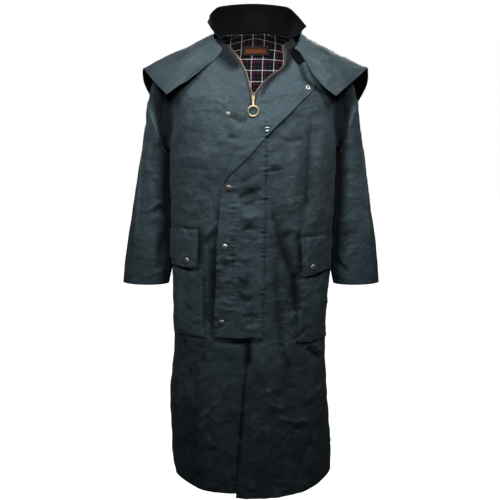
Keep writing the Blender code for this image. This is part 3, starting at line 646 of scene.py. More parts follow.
CAPE_CREASES = (
    Crease(((-108, -30), (-160, -62), (-222, -96)), 12, 2.2, 0.8),
    Crease(((-122, -22), (-184, -46), (-258, -88)), 14, -2.4, 0.9),
    Crease(((-120, -70), (-164, -104), (-196, -146)), 9, -1.8, 0.8),
    Crease(((118, -34), (164, -72), (214, -118)), 12, 2.2, 0.8),
    Crease(((138, -16), (200, -50), (262, -96)), 14, -2.4, 0.9),
    Crease(((150, -88), (186, -122), (204, -152)), 9, 1.6, 0.8),
    Crease(((-60, 0), (-104, -90), (-140, -210)), 22, 3.2, 1, Face.BACK),
    Crease(((62, 0), (100, -96), (146, -205)), 22, 3.0, 1, Face.BACK),
    Crease(((-20, -60), (-34, -180), (-50, -300)), 18, -3.0, 1, Face.BACK),
    Crease(((24, -40), (42, -170), (40, -300)), 20, -2.6, 1, Face.BACK),
    Crease(((150, -30), (200, -80), (250, -150)), 14, -2.4, 1, Face.BACK),
    Crease(((-150, -30), (-196, -84), (-244, -150)), 14, -2.4, 1, Face.BACK),
)


@dataclass(frozen=True)
class BodyForm:
    """Outer face of the coat's body; every layer of the fronts and the back is made from its points."""

    neck: float = -6
    hem: float = -1244
    armhole_level: float = -192
    armhole_half_height: float = 118
    armhole_angle: float = 30
    angle_step: float = 1.5
    level_step: float = 4
    rounds: int = 5
    relief: Relief = Relief(BODY_CREASES + EDGE_SHADOW_CREASES, BODY_PUCKERS, BODY_CRINKLES)

    def ring(self, angle: Number, level: Number) -> Array:
        """Points of the plain body, with no folds."""
        across, along = np.cos(np.radians(angle)), np.sin(np.radians(angle))
        power = 2 / read(BODY_RINGS, "square", level)
        ahead = along < 0
        depth = np.where(ahead, read(BODY_RINGS, "front", level), read(BODY_RINGS, "back", level))
        tilt = np.where(ahead, read(BODY_RINGS, "tilt_front", level), read(BODY_RINGS, "tilt_back", level))
        spread = np.sign(across) * np.abs(across) ** power
        x = read(BODY_RINGS, "shift", level) + read(BODY_RINGS, "half_width", level) * spread
        y = depth * np.sign(along) * np.abs(along) ** power
        z = level + tilt * along + read(BODY_RINGS, "side_lift", level) * across ** 2
        return np.stack([x, y, z], -1)

    def folds(self, angle: Array, level: Array) -> Array:
        """How far the long folds lift the cloth off the plain body."""
        height = np.zeros(np.broadcast(angle, level).shape)
        for fold in BODY_FOLDS:
            share = np.clip((fold.top - level) / (fold.top - fold.foot), 0, 1)
            middle = fold.top_angle + (fold.foot_angle - fold.top_angle) * share
            turn = (angle - middle + 180) % 360 - 180
            height = height + fold.depth * np.sin(np.pi * share) * np.exp(-(turn / fold.half_width) ** 2)
        return height

    def cloth(self, angle: Number, level: Number, out: Number = 0.0) -> Cloth:
        """Cloth on the body.

        Args:
            angle: Angles round the body.
            level: Levels down the body.
            out: How far the layer lies off the body.

        Returns:
            The layer's points, folded and creased, and the light and shade its creases paint into its colour,
            from their lift.
        """
        angle, level, out = np.broadcast_arrays(*(np.asarray(v, float) for v in (angle, level, out)))
        turn = self.ring(angle + self.angle_step, level) - self.ring(angle - self.angle_step, level)
        top = np.minimum(level + self.level_step / 2, self.neck)
        rise = self.ring(angle, top) - self.ring(angle, np.maximum(top - self.level_step, self.hem))
        normal = unit(np.cross(turn, rise))
        plain = self.ring(angle, level)
        creased, rub = self.relief.creased(plain)
        lift = out + self.folds(angle, level) + creased + self.relief.rippled(plain)
        return Cloth(plain + normal * lift[..., None], rub)

    def front_angle(self, x: Number, level: Number) -> Array:
        """Angle on the front at which the body has this x."""
        share = (x - read(BODY_RINGS, "shift", level)) / read(BODY_RINGS, "half_width", level)
        share = np.clip(share, -1, 1)
        across = np.sign(share) * np.abs(share) ** (read(BODY_RINGS, "square", level) / 2)
        return -np.degrees(np.arccos(across))

    def on_front(self, x: Number, z: Number, out: Number = 0.0) -> Cloth:
        """Cloth on the front at a given x and height."""
        x, z = np.broadcast_arrays(np.asarray(x, float), np.asarray(z, float))
        level = z
        for _ in range(self.rounds):
            angle = self.front_angle(x, level)
            level = z - read(BODY_RINGS, "tilt_front", level) * np.sin(np.radians(angle))
        return self.cloth(angle, level, out)

    def side_angle(self, level: Array) -> Array:
        """Angle from the side at which a panel ends: none at the closed side seam, more round the armhole."""
        share = np.clip((level - self.armhole_level) / self.armhole_half_height, -1, 1)
        return self.armhole_angle * np.sqrt(1 - share ** 2)

    def half_width_at(self, side: Side, y: Array, level: Array) -> Array:
        """How far the plain body reaches out on a side, at a depth and a level."""
        depth = np.where(y < 0, read(BODY_RINGS, "front", level), read(BODY_RINGS, "back", level))
        power = read(BODY_RINGS, "square", level)
        reach = (1 - np.clip(np.abs(y) / depth, 0, 1) ** power) ** (1 / power)
        return side.value * read(BODY_RINGS, "shift", level) + read(BODY_RINGS, "half_width", level) * reach

    def levels(self, foot: float, top: Optional[float] = None, step: float = ROW_STEP) -> Array:
        """Rows from a foot up to a top level, the neck if none is given, close about a step apart."""
        top = self.neck if top is None else top
        return np.linspace(foot, top, max(2, round((top - foot) / step) + 1))[:, None]


def math_method(operation: str, swapped: bool = False) -> Callable[["Socket", "Shade"], "Socket"]:
    """A socket's method that adds a Math node; swapped puts the other value first."""

    def method(self: "Socket", other: "Shade" = 0.0) -> "Socket":
        """The Math node's value."""
        first, second = (other, self) if swapped else (self, other)
        return self.graph.node("ShaderNodeMath", {"operation": operation}, {0: first, 1: second})

    return method


class Socket:
    """One value of a shader; an expression on values adds its Math nodes."""

    __add__ = math_method("ADD")
    __radd__ = math_method("ADD", swapped=True)
    __sub__ = math_method("SUBTRACT")
    __rsub__ = math_method("SUBTRACT", swapped=True)
    __mul__ = math_method("MULTIPLY")
    __truediv__ = math_method("DIVIDE")
    sine = math_method("SINE")
    part = math_method("FRACT")

    def __init__(self, graph: "Graph", link: bpy.types.NodeSocket) -> None:
        """Keeps the socket and the graph it is in."""
        self.graph = graph
        self.link = link

    def near(self, middle: float, half_width: float) -> "Socket":
        """One within half a width of a place, nought elsewhere."""
        sockets = {0: self, 1: middle, 2: half_width}
        return self.graph.node("ShaderNodeMath", {"operation": "COMPARE"}, sockets)

    def over(self, low: float, high: float) -> "Socket":
        """Nought below one value, one above another, smooth between them."""
        sockets = {"Value": self, "From Min": low, "From Max": high}
        return self.graph.node("ShaderNodeMapRange", {"interpolation_type": "SMOOTHSTEP"}, sockets)


Shade = Union[Socket, float]


class Graph:
    """The nodes of one material."""

    def __init__(self, name: str) -> None:
        """Starts a Principled material of that name."""
        self.material = bpy.data.materials.new(name)
        self.material.use_nodes = True
        self.tree = self.material.node_tree
        self.shader = self.tree.nodes["Principled BSDF"]

    def node(self, kind: str, settings: Optional[dict] = None, sockets: Optional[dict] = None,
             output: Union[int, str] = 0) -> Socket:
        """Any node.

        Args:
            kind: The node's type.
            settings: Its settings, set first.
            sockets: Values or links of its inputs.
            output: The output to give back.

        Returns:
            That output.
        """
        made = self.tree.nodes.new(kind)
        for key, value in (settings or {}).items():
            setattr(made, key, value)
        self.join(made, sockets or {})
        return Socket(self, made.outputs[output])

    def join(self, made: bpy.types.Node, sockets: dict) -> None:
        """Sets a node's inputs, by number or name, to values or links."""
        for key, value in sockets.items():
            if isinstance(value, Socket):
                self.tree.links.new(value.link, made.inputs[key])
            else:
                made.inputs[key].default_value = value

    def place(self) -> Socket:
        """Object coordinates."""
        return self.node("ShaderNodeTexCoord", output="Object")

    def cloth_axes(self) -> tuple[Socket, Socket]:
        """Metres across and along the cloth."""
        split = {0: self.node("ShaderNodeUVMap", {"uv_map": UV_NAME})}
        across, along = (self.node("ShaderNodeSeparateXYZ", None, split, axis) for axis in "XY")
        return across, along

    def stretched(self, scale: Triple) -> Socket:
        """Object coordinates, scaled along each axis."""
        return self.node("ShaderNodeMapping", None, {"Vector": self.place(), "Scale": scale})

    def noise(self, vector: Socket, scale: float, detail: float = 3.0, rough: float = 0.55) -> Socket:
        """Soft noise from nought to one."""
        sockets = {"Vector": vector, "Scale": scale, "Detail": detail, "Roughness": rough}
        return self.node("ShaderNodeTexNoise", None, sockets)

    def mix(self, factor: Shade, first: Union[Socket, Colour], second: Union[Socket, Colour]) -> Socket:
        """A colour between two."""
        colours = [value if isinstance(value, Socket) else (*value, 1) for value in (first, second)]
        return self.node("ShaderNodeMix", {"data_type": "RGBA"}, {0: factor, 6: colours[0], 7: colours[1]}, 2)

    def bump(self, height: Socket, strength: float, distance: float,
             under: Optional[Socket] = None) -> Socket:
        """A normal from a height, over another normal if one is given."""
        sockets = {"Height": height, "Strength": strength, "Distance": distance}
        if under is not None:
            sockets["Normal"] = under
        return self.node("ShaderNodeBump", None, sockets)

    def finish(self, **sockets: object) -> bpy.types.Material:
        """Sets the shader's own inputs; underscores in names stand for spaces."""
        self.join(self.shader, {key.replace("_", " "): value for key, value in sockets.items()})
        return self.material


@dataclass(frozen=True)
class WaxCotton:
    """Dark waxed cotton: mottled wax, worn and highlit ridges, painted shade in hollows, a fine weave and a
    soft sheen.
    """

    slot: str = "wax_cotton"
    name: str = "wax_cotton"
    deep: Colour = (0.0180, 0.0285, 0.0345)
    pale: Colour = (0.0420, 0.0615, 0.0710)
    # Colour of wear and painted highlight on raised creases and edges.
    rubbed: Colour = (0.105, 0.130, 0.138)
    # Colour of the painted shade in creases, beside edges, round the neck and in the sleeves' hollows.
    hollow: Colour = (0.0020, 0.0032, 0.0042)
    tint: tuple[float, float, float, float] = (0.75, 0.93, 1.0, 1.0)
    roughness: float = 0.60
    crumple: float = 0.45
    crumple_scales: tuple[Triple, Triple] = ((17.0, 17.0, 27.0), (55.0, 55.0, 85.0))
    crack_scale: Triple = (34.0, 34.0, 44.0)
    thread: float = 5200.0

    def material(self) -> bpy.types.Material:
        """The finished material."""
        graph = Graph(self.name)
        place = graph.place()
        cloud = graph.noise(place, 7.0, 4.0)
        blot = graph.noise(place, 31.0, 3.0)
        grain = graph.noise(place, 420.0, 2.0)
        rub = graph.node("ShaderNodeAttribute", {"attribute_name": WEAR_AND_PAINTED_SHADING_NAME}, None, "Fac")
        ridged = {"noise_type": "RIDGED_MULTIFRACTAL"}
        sockets = {"Scale": 1.0, "Detail": 3.0, "Roughness": 0.5, "Distortion": 0.7}
        large, small = (graph.node("ShaderNodeTexNoise", ridged, {"Vector": vector, **sockets})
                        for vector in map(graph.stretched, self.crumple_scales))
        ridge = large * 0.45 + small * 0.2
        speck = graph.noise(place, 170.0, 2.0)
        tone = (cloud.over(0.32, 0.70) * 0.30 + blot.over(0.35, 0.72) * 0.25
                + speck.over(0.3, 0.7) * 0.3 + grain * 0.15)
        cell = graph.node("ShaderNodeTexVoronoi", {"feature": "DISTANCE_TO_EDGE"},
                          {"Vector": graph.stretched(self.crack_scale), "Scale": 1.0}, "Distance")
        cracked = (1.0 - cell.over(0.0, 0.09)) * graph.noise(place, 11.0, 3.0).over(0.50, 0.66)
        # Wear and painted highlight where creases rise and along edges, and the wax's pale crackle.
        worn_and_highlit_share = rub.over(0.5, 4.5) * 0.42 + cracked * 0.26
        colour = graph.mix(tone, self.deep, self.pale)
        colour = graph.mix(worn_and_highlit_share, colour, self.rubbed)
        # Painted shade: darker, and rougher so that it stays dark, where the cloth is marked as sunk or
        # shaded.
        deep = (0.0 - rub).over(0.4, 4.0) * 0.66 + (0.0 - rub).over(4.0, 8.0) * 0.3
        colour = graph.mix(deep, colour, self.hollow)
        across, along = graph.cloth_axes()
        weave = (across * self.thread).sine() * (along * self.thread).sine()
        low = graph.bump(ridge + blot * 0.15, self.crumple, 0.015)
        fine = graph.bump(grain + weave * 0.25, 0.35, 0.00025, low)
        rough = self.roughness + (blot - 0.5) * 0.22 + worn_and_highlit_share * 0.1 + deep * 0.3
        return graph.finish(Base_Color=colour, Roughness=rough, Normal=fine, Sheen_Weight=0.03,
                            Sheen_Roughness=0.5, Specular_IOR_Level=0.20, Specular_Tint=self.tint)


@dataclass(frozen=True)
class Corduroy:
    """Black needle corduroy, its wales across the cloth."""

    slot: str = "corduroy"
    name: str = "corduroy"
    pile: Colour = (0.0016, 0.0016, 0.0018)
    groove: Colour = (0.0005, 0.0005, 0.0005)
    brushed: Colour = (0.0058, 0.0060, 0.0065)
    pitch: float = 0.0036

    def material(self) -> bpy.types.Material:
        """The finished material."""
        graph = Graph(self.name)
        across, _ = graph.cloth_axes()
        wobble = graph.noise(graph.place(), 40.0, 2.0)
        wale = (across * (2 * math.pi / self.pitch) + wobble * 1.5).sine() * 0.5 + 0.5
        nap = graph.noise(graph.stretched((60.0, 60.0, 200.0)), 1.0, 3.0)
        brushed = graph.noise(graph.place(), 14.0, 3.0).over(0.48, 0.72)
        colour = graph.mix(brushed, self.pile, self.brushed)
        colour = graph.mix(wale.over(0.15, 0.85) * (0.5 + nap * 0.5), self.groove, colour)
        height = graph.bump(wale + nap * 0.2, 0.7, 0.0007)
        return graph.finish(Base_Color=colour, Roughness=0.78 + nap * 0.18, Normal=height, Sheen_Weight=0.006,
                            Sheen_Roughness=0.4, Specular_IOR_Level=0.06)


class Stripe(NamedTuple):
    """A stripe of a plaid's repeat: its middle and half width as shares of the repeat."""

    middle: float
    half_width: float
    colour: Colour


@dataclass(frozen=True)
class Plaid:
    """A plain window plaid on navy, woven alike both ways."""

    slot: str = "plaid_lining"
    name: str = "plaid_lining"
    ground: Colour = (0.0020, 0.0024, 0.0085)
    repeat: float = 0.032
    repeats_before: float = 40.0
    stripes: tuple[Stripe, ...] = (
        Stripe(0.56, 0.10, (0.006, 0.001, 0.003)),
        Stripe(0.32, 0.045, (0.001, 0.006, 0.004)),
        Stripe(0.80, 0.030, (0.15, 0.014, 0.030)),
        Stripe(0.05, 0.036, (0.70, 0.71, 0.72)),
        Stripe(0.42, 0.022, (0.020, 0.040, 0.050)),
    )
    thread: float = 2600.0

    def striped(self, graph: Graph, distance: Socket) -> Socket:
        """The colours of one set of threads, by their place in the repeat."""
        share = (distance / self.repeat + self.repeats_before).part()
        colour: Union[Socket, Colour] = self.ground
        for stripe in self.stripes:
            colour = graph.mix(share.near(stripe.middle, stripe.half_width), colour, stripe.colour)
        return colour

    def material(self) -> bpy.types.Material:
        """The finished material."""
        graph = Graph(self.name)
        across, along = graph.cloth_axes()
        twill = ((across + along) * self.thread).sine() * 0.5 + 0.5
        lint = graph.noise(graph.place(), 300.0, 3.0)
        colour = graph.mix(twill.over(0.3, 0.7), self.striped(graph, across), self.striped(graph, along))
        colour = graph.mix(lint * 0.06, colour, (0.03, 0.03, 0.04))
        height = graph.bump(twill + lint, 0.3, 0.0003)
        return graph.finish(Base_Color=colour, Roughness=0.82 + lint * 0.15, Normal=height,
                            Sheen_Weight=0.02, Specular_IOR_Level=0.12)


@dataclass(frozen=True)
class LabelCloth:
    """Woven label: a rust field inside a brown border, with no words."""

    slot: str = "label_cloth"
    name: str = "label_cloth"
    border: Colour = (0.022, 0.011, 0.007)
    field_colour: Colour = (0.19, 0.045, 0.010)
    half_width: float = 0.029
    half_height: float = 0.0062

    def material(self) -> bpy.types.Material:
        """The finished material."""
        graph = Graph(self.name)
        across, along = graph.cloth_axes()
        inside = across.near(0.0, self.half_width) * along.near(0.0, self.half_height)
        satin = (along * 4200.0).sine() * 0.5 + 0.5
        lint = graph.noise(graph.place(), 260.0, 3.0)
        colour = graph.mix(inside * (0.72 + satin * 0.28), self.border, self.field_colour)
        colour = graph.mix(lint.over(0.5, 0.9) * 0.25, colour, (0.10, 0.04, 0.02))
        return graph.finish(Base_Color=colour, Roughness=0.62 + lint * 0.25,
                            Normal=graph.bump(satin + lint, 0.4, 0.0003))


@dataclass(frozen=True)
class Tape:
    """Woven zip tape or binding, with ribs along it."""

    slot: str = "zip_tape"
    name: str = "zip_tape"
    deep: Colour = (0.006, 0.008, 0.012)
    pale: Colour = (0.016, 0.020, 0.027)
    pitch: float = 0.0011

    def material(self) -> bpy.types.Material:
        """The finished material."""
        graph = Graph(self.name)
        across, along = graph.cloth_axes()
        rib = ((along + across * 0.6) * (2 * math.pi / self.pitch)).sine() * 0.5 + 0.5
        lint = graph.noise(graph.place(), 350.0, 2.0)
        colour = graph.mix(rib * 0.7 + lint * 0.3, self.deep, self.pale)
        return graph.finish(Base_Color=colour, Roughness=0.7 + lint * 0.25,
                            Normal=graph.bump(rib + lint * 0.5, 0.5, 0.0003))


@dataclass(frozen=True)
class Metal:
    """Cast or stamped metal, a little tarnished, with fine scratches."""

    slot: str
    name: str
    bright: Colour
    tarnish: Colour
    roughness: float
    age: float

    def material(self) -> bpy.types.Material:
        """The finished material."""
        graph = Graph(self.name)
        place = graph.place()
        # Spots of tarnish on the metal.
        stain = graph.noise(place, 260.0, 4.0).over(0.42, 0.72)
        scratch = graph.noise(graph.stretched((900.0, 900.0, 90.0)), 1.0, 2.0)
        colour = graph.mix(stain * self.age, self.bright, self.tarnish)
        rough = self.roughness + stain * 0.2 + (scratch - 0.5) * 0.12
        return graph.finish(Base_Color=colour, Metallic=1.0, Roughness=rough,
                            Normal=graph.bump(scratch + stain * 0.4, 0.15, 0.00012))


@dataclass(frozen=True)
class Thread:
    """Waxed sewing thread."""

    slot: str = "wax_cotton"
    name: str = "sewing_thread"
    deep: Colour = (0.030, 0.038, 0.044)
    pale: Colour = (0.075, 0.088, 0.095)

    def material(self) -> bpy.types.Material:
        """The finished material."""
        graph = Graph(self.name)
        fleck = graph.noise(graph.place(), 700.0, 2.0)
        colour = graph.mix(fleck.over(0.3, 0.7), self.deep, self.pale)
        return graph.finish(Base_Color=colour, Roughness=0.55 + fleck * 0.3)


class Finishes(Enum):
    """The coat's finishes."""

    WAX = WaxCotton()
    CORDUROY = Corduroy()
    PLAID = Plaid()
    LABEL = LabelCloth()
    TAPE = Tape()
    BRASS = Metal("brass", "brass", (0.72, 0.58, 0.33), (0.36, 0.26, 0.12), 0.42, 0.55)
    TEETH = Metal("brass", "brass_teeth", (0.40, 0.31, 0.16), (0.14, 0.10, 0.05), 0.50, 0.8)
    STUD = Metal("stud_metal", "stud_metal", (0.58, 0.57, 0.54), (0.15, 0.14, 0.12), 0.36, 0.8)
    # A darker, rougher copy of the stud metal: painted shade on three of the studs.
    DULL = Metal("stud_metal", "stud_metal_dull", (0.23, 0.215, 0.185), (0.06, 0.055, 0.045), 0.46, 0.8)
    THREAD = Thread()
    # A lighter, bluer copy of the wax cotton: painted light on the storm flap, pockets and sleeves.
    FACING = WaxCotton(name="wax_cotton_facing", deep=(0.021, 0.034, 0.042), pale=(0.048, 0.073, 0.086))

    def dress(self, made: bpy.types.Object) -> None:
        """Adds this finish to a piece's materials, made on first use."""
        found = bpy.data.materials.get(f"{self.value.name}_look")
        if found is None:
            found = self.value.material()
            found.name = f"{self.value.name}_look"
        made.data.materials.append(found)


def add_object(name: str, data: bpy.types.ID) -> bpy.types.Object:
    """Makes an object of some data, in the scene."""
    made = bpy.data.objects.new(name, data)
    bpy.context.scene.collection.objects.link(made)
    return made


def place_mesh(name: str, shaped: BMesh) -> bpy.types.Object:
    """Makes an object of a finished bmesh, with smooth faces."""
    mesh = bpy.data.meshes.new(name)
    shaped.to_mesh(mesh)
    shaped.free()
    mesh.shade_smooth()
    return add_object(name, mesh)


def declare(made: bpy.types.Object, node: Optional[str] = None, body: str = COAT) -> None:
    """Attaches a piece to the body it rides on and hides the solid it stands for, if any."""
    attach(made, body)
    if node is not None:
        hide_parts(node)
    log.info("%s: %d faces", made.name, len(made.data.polygons))


def travel(points: Array, axis: int, middle: bool) -> Array:
    """Distance along a grid's rows or columns.

    Args:
        points: The grid.
        axis: 1 along its rows, 0 along its columns.
        middle: Whether to count from the middle, and not from the start.

    Returns:
        The distance at each point.
    """
    steps = np.linalg.norm(np.diff(points, axis=axis), axis=-1)
    start = np.zeros_like(np.take(steps, [0], axis=axis))
    total = np.concatenate([start, np.cumsum(steps, axis=axis)], axis=axis)
    if middle:
        total = total - np.take(total, [total.shape[axis] // 2], axis=axis)
    return total


@dataclass
class Shell:
    """One cut piece of cloth: a fine grid on its solid's form, given a thickness.

    The grid's columns and rows run so that its faces look out; flip turns them round.
    """

    node: str
    cloth: Cloth
    outside: Finishes = Finishes.WAX
    inside: Finishes = Finishes.WAX
    wall: float = WALL
    held: str = "hung"
    rests_on: tuple[str, ...] = ("back",)
    flip: bool = False
    tube: bool = False
    # Lightening along the edges: wear and painted highlight.
    worn_edge: float = 0.0

    def shape(self, points: Array, rub: Array, across: Array, along: Array) -> BMesh:
        """The cloth's outer face.

        Args:
            points: The grid's points, in millimetres.
            rub: Wear and painted light and shade at each point.
            across: Metres across the cloth at each point.
            along: Metres along the cloth at each point.

        Returns:
            The face, with its wear, its painted light and shade and its flat coordinates stored on it.
        """
        rows, columns = rub.shape
        shaped = bmesh.new()
        bmesh.ops.create_grid(shaped, x_segments=columns - 1, y_segments=rows - 1, size=1)
        cells = np.array([vert.co[:2] for vert in shaped.verts])
        column, row = np.rint((cells + 1) / 2 * (columns - 1, rows - 1)).astype(int).T
        uv_layer = shaped.loops.layers.uv.new(UV_NAME)
        wear_and_painted_shading_layer = shaped.verts.layers.float.new(WEAR_AND_PAINTED_SHADING_NAME)
        for vert, i, j in zip(shaped.verts, row, column):
            vert.co = points[i, j] * MM
            vert[wear_and_painted_shading_layer] = rub[i, j]
            for loop in vert.link_loops:
                loop[uv_layer].uv = (across[i, j], along[i, j])
        if self.tube:
            ends = [vert for vert, j in zip(shaped.verts, column) if j in (0, columns - 1)]
            bmesh.ops.remove_doubles(shaped, verts=ends, dist=1e-6)
        return shaped

    def build(self) -> None:
        points, rub = self.cloth.points, self.cloth.rub.copy()
        # Lighter edges: wear and painted highlight along the piece's borders.
        rub[:, [0, -1]] += self.worn_edge * (not self.tube)
        rub[[0, -1]] += self.worn_edge
        if self.flip:
            points, rub = points[:, ::-1], rub[:, ::-1]
        across, along = travel(points, 1, True) * MM, travel(points, 0, True) * MM
        shaped = self.shape(points, rub, across, along)
        area = sum(face.calc_area() for face in shaped.faces)
        made = place_mesh(f"{self.node}_cloth", shaped)
        self.outside.dress(made)
        self.inside.dress(made)
        thicken = made.modifiers.new("wall", "SOLIDIFY")
        thicken.thickness = self.wall * MM
        thicken.offset = -1
        thicken.material_offset = 1
        made.modifiers.new("flat_faces", "WEIGHTED_NORMAL").keep_sharp = True
        declare(made, self.node)


ZIP_LINE = (
    EdgePoint(-6, 76, -60),
    EdgePoint(-45, 79, -37),
    EdgePoint(-72, 77, -26),
    EdgePoint(-90, 64, -19),
    EdgePoint(-106, 42, -14),
    EdgePoint(-130, 19, -8),
    EdgePoint(-165, 0, 0),
    EdgePoint(-230, 0, 0),
    EdgePoint(-800, -5, -5),
)
VENT_LINE = (
    EdgePoint(-793, -7, 4),
    EdgePoint(-811, -6, 4),
    EdgePoint(-840, -8, 4),
    EdgePoint(-880, -14, 4),
    EdgePoint(-915, -20, 4),
    EdgePoint(-950, -24, 4),
    EdgePoint(-1244, -47, 4),
)
POCKETS = (
    Pocket(Side.RIGHT, -541, -561, -636, -826),
    Pocket(Side.LEFT, -521, -541, -622, -811),
)


@dataclass
class Panels:
    """The two fronts with their patch pockets, the back, its lining and the label."""

    body: BodyForm
    columns: int = 78
    back_columns: int = 124
    hem_rise: float = 14
    hem_reach: float = 150
    neck_shade: float = 14
    neck_shade_levels: Pair = (-48, -18)
    vent_lift: float = 6.0
    vent_lift_top: float = -811
    vent_lift_angle: float = 22
    vent_lift_height: float = 60
    vent_sink: float = 4.0
    vent_sink_levels: tuple[float, ...] = (-930, -875, -786, -776)
    vent_sink_angle: float = 9
    pocket_tilt: float = 8
    pocket_columns: int = 44
    bag_span: Pair = (0.36, 0.93)
    bag_step: float = 3.5
    # Edge lightening of the bags and flaps: wear and painted highlight.
    bag_wear: float = 0.8
    flap_span: Pair = (0.40, 0.93)
    flap_step: float = 2.5
    flap_wear: float = 3.0
    flap_over_bag: float = LAID + THIN + 0.6
    flap_climb: Pair = (8, 12)
    lining_foot: float = -304
    label_width: float = 72
    label_wall: float = 1.0
    label_grid: tuple[int, int] = (9, 19)
    label_levels: Pair = (-52, -30)
    label_middle: float = 4
    label_gap: float = 1.7

    def edge(self, side: Side, level: Array) -> Array:
        """x of a front's free edge: beside the zip tape, and below the zip the vent's overlap."""
        zip_edge = read(ZIP_LINE, side.word, level) + side.value * TAPE_WIDTH
        return np.where(level >= ZIP_FOOT, zip_edge, read(VENT_LINE, side.word, level))

    def angles(self, side: Side, level: Array, share: Array) -> Array:
        """Angles across a front, from its free edge to its side seam or armhole."""
        edge = self.body.front_angle(self.edge(side, level), level)
        far = self.body.side_angle(level)
        far = -far if side is Side.RIGHT else far - 180
        return edge + (far - edge) * share

    def lifted(self, side: Side, angle: Array, level: Array) -> Array:
        """How far a front stands off at the vent: the right one is lifted, the left one sunk at the top."""
        turn = side.value * (angle + 90)
        if side is Side.LEFT:
            sunk = np.interp(level, self.vent_sink_levels, (0, 1, 1, 0))
            return -self.vent_sink * sunk * np.clip(2 - turn / self.vent_sink_angle, 0, 1)
        below = np.clip((self.vent_lift_top - level) / self.vent_lift_height, 0, 1)
        return self.vent_lift * below * np.clip(2 - turn / self.vent_lift_angle, 0, 1)

    def hem_raised(self, side: Side, level: Array, share: Array) -> Array:
        """Levels of a front; the left one's hem rises towards the vent."""
        near = np.clip((self.body.hem + self.hem_reach - level) / self.hem_reach, 0, 1)
        return level + self.hem_rise * near * (1 - share) ** 2 * (side is Side.LEFT)

    def laid(self, side: Side, level: Array, share: Array, out: Number) -> Cloth:
        """Cloth laid on a front, moved out of it."""
        angle = self.angles(side, level, share)
        return self.body.cloth(angle, level, out + self.lifted(side, angle, level))

    def build_front(self, side: Side) -> None:
        """A front panel."""
        share = np.linspace(0, 1, self.columns)
        level = self.hem_raised(side, self.body.levels(self.body.hem), share)
        points, rub = self.laid(side, level, share, 0.0)
        # Painted shadow at the top of the front, darkest at the neck seam.
        cloth = Cloth(points, rub - np.interp(level, self.neck_shade_levels, (0, self.neck_shade)))
        Shell(f"front_{side.word}", cloth, inside=Finishes.PLAID, flip=side is Side.LEFT).build()

    def patch(self, pocket: Pocket, span: Pair, level: Array, across: Array,
              out: Number) -> Cloth:
        """A layer of a pocket.

        Args:
            pocket: The pocket.
            span: Shares of the front's width at its inner and outer edge.
            level: Levels down the layer.
            across: Shares from its inner edge to its outer one.
            out: How far it lies off the front.

        Returns:
            The layer's cloth.
        """
        first, last = span
        level = level + self.pocket_tilt * (1 - across)
        return self.laid(pocket.side, level, first + (last - first) * across, out)

    def bag(self, pocket: Pocket, level: Array, across: Array) -> Cloth:
        """Cloth of a pocket's bag."""
        return self.patch(pocket, self.bag_span, level, across, LAID + THIN)

    def flap(self, pocket: Pocket, level: Array, across: Array) -> Cloth:
        """Cloth of a pocket's flap, which lies over the bag below its top."""
        start, height = self.flap_climb
        over = np.clip((pocket.bag_top + start - level) / height, 0, 1)
        out = LAID + (self.flap_over_bag - LAID) * over + THIN
        return self.patch(pocket, self.flap_span, level, across, out)

    def build_pocket(self, pocket: Pocket) -> None:
        """A patch pocket's bag and its flap."""
        word, across = pocket.side.word, np.linspace(0, 1, self.pocket_columns)
        layers = (
            ("bag", self.bag, (pocket.bag_foot, pocket.bag_top, self.bag_step), self.bag_wear),
            ("flap", self.flap, (pocket.flap_foot, pocket.flap_top, self.flap_step), self.flap_wear),
        )
        for name, layer, rows, rim_wear_and_highlight in layers:
            cloth = layer(pocket, self.body.levels(*rows), across)
            Shell(f"pocket_{name}_{word}", cloth, Finishes.FACING, wall=THIN, held="laid",
                  rests_on=(f"front_{word}",), flip=pocket.side is Side.LEFT, worn_edge=rim_wear_and_highlight).build()

    def back_cloth(self, foot: float, out: float) -> Cloth:
        """Cloth on the back from the neck down to a foot level."""
        level = self.body.levels(foot)
        side = self.body.side_angle(level)
        return self.body.cloth(side + (180 - 2 * side) * np.linspace(0, 1, self.back_columns), level, out)

    def build_back(self) -> None:
        """The back panel and the stretch of lining that shows in the neck."""
        Shell("back", self.back_cloth(self.body.hem, 0.0), inside=Finishes.PLAID,
              rests_on=("front_right", "front_left")).build()
        Shell("lining_back", self.back_cloth(self.lining_foot, -WALL - SEAM), Finishes.PLAID,
              Finishes.PLAID, THIN).build()

    def build_label(self) -> None:
        """Plain woven label on the lining below the neck."""
        rows, columns = self.label_grid
        level = np.linspace(*self.label_levels, rows)[:, None]
        x = self.label_middle + self.label_width * np.linspace(0.5, -0.5, columns)
        angle = np.degrees(np.arccos(x / read(BODY_RINGS, "half_width", level)))
        cloth = self.body.cloth(angle, level, -WALL - SEAM - THIN - self.label_gap)
        Shell("label", cloth, Finishes.LABEL, Finishes.LABEL, self.label_wall, "laid",
              ("lining_back",)).build()

    def build(self) -> None:
        """All panels."""
        for side in Side:
            self.build_front(side)
        for pocket in POCKETS:
            self.build_pocket(pocket)
        self.build_back()
        self.build_label()


SLEEVE_RINGS = (
    SleeveRing(0, 234, -318, 262, -96, 78, 0),
    SleeveRing(1, 237, -328, 277, -140, 80, 2),
    SleeveRing(2, 238, -345, 286, -195, 80, 4),
    SleeveRing(3, 235, -380, 297, -270, 76, 5),
    SleeveRing(4, 232, -430, 311, -350, 70, 3),
    SleeveRing(5, 229, -490, 326, -440, 63, -2),
    SleeveRing(6, 228, -560, 341, -530, 55, -8),
    SleeveRing(7, 228, -625, 352, -612, 48, -13),
    SleeveRing(8, 230, -676, 358, -673, 44, -16),
)


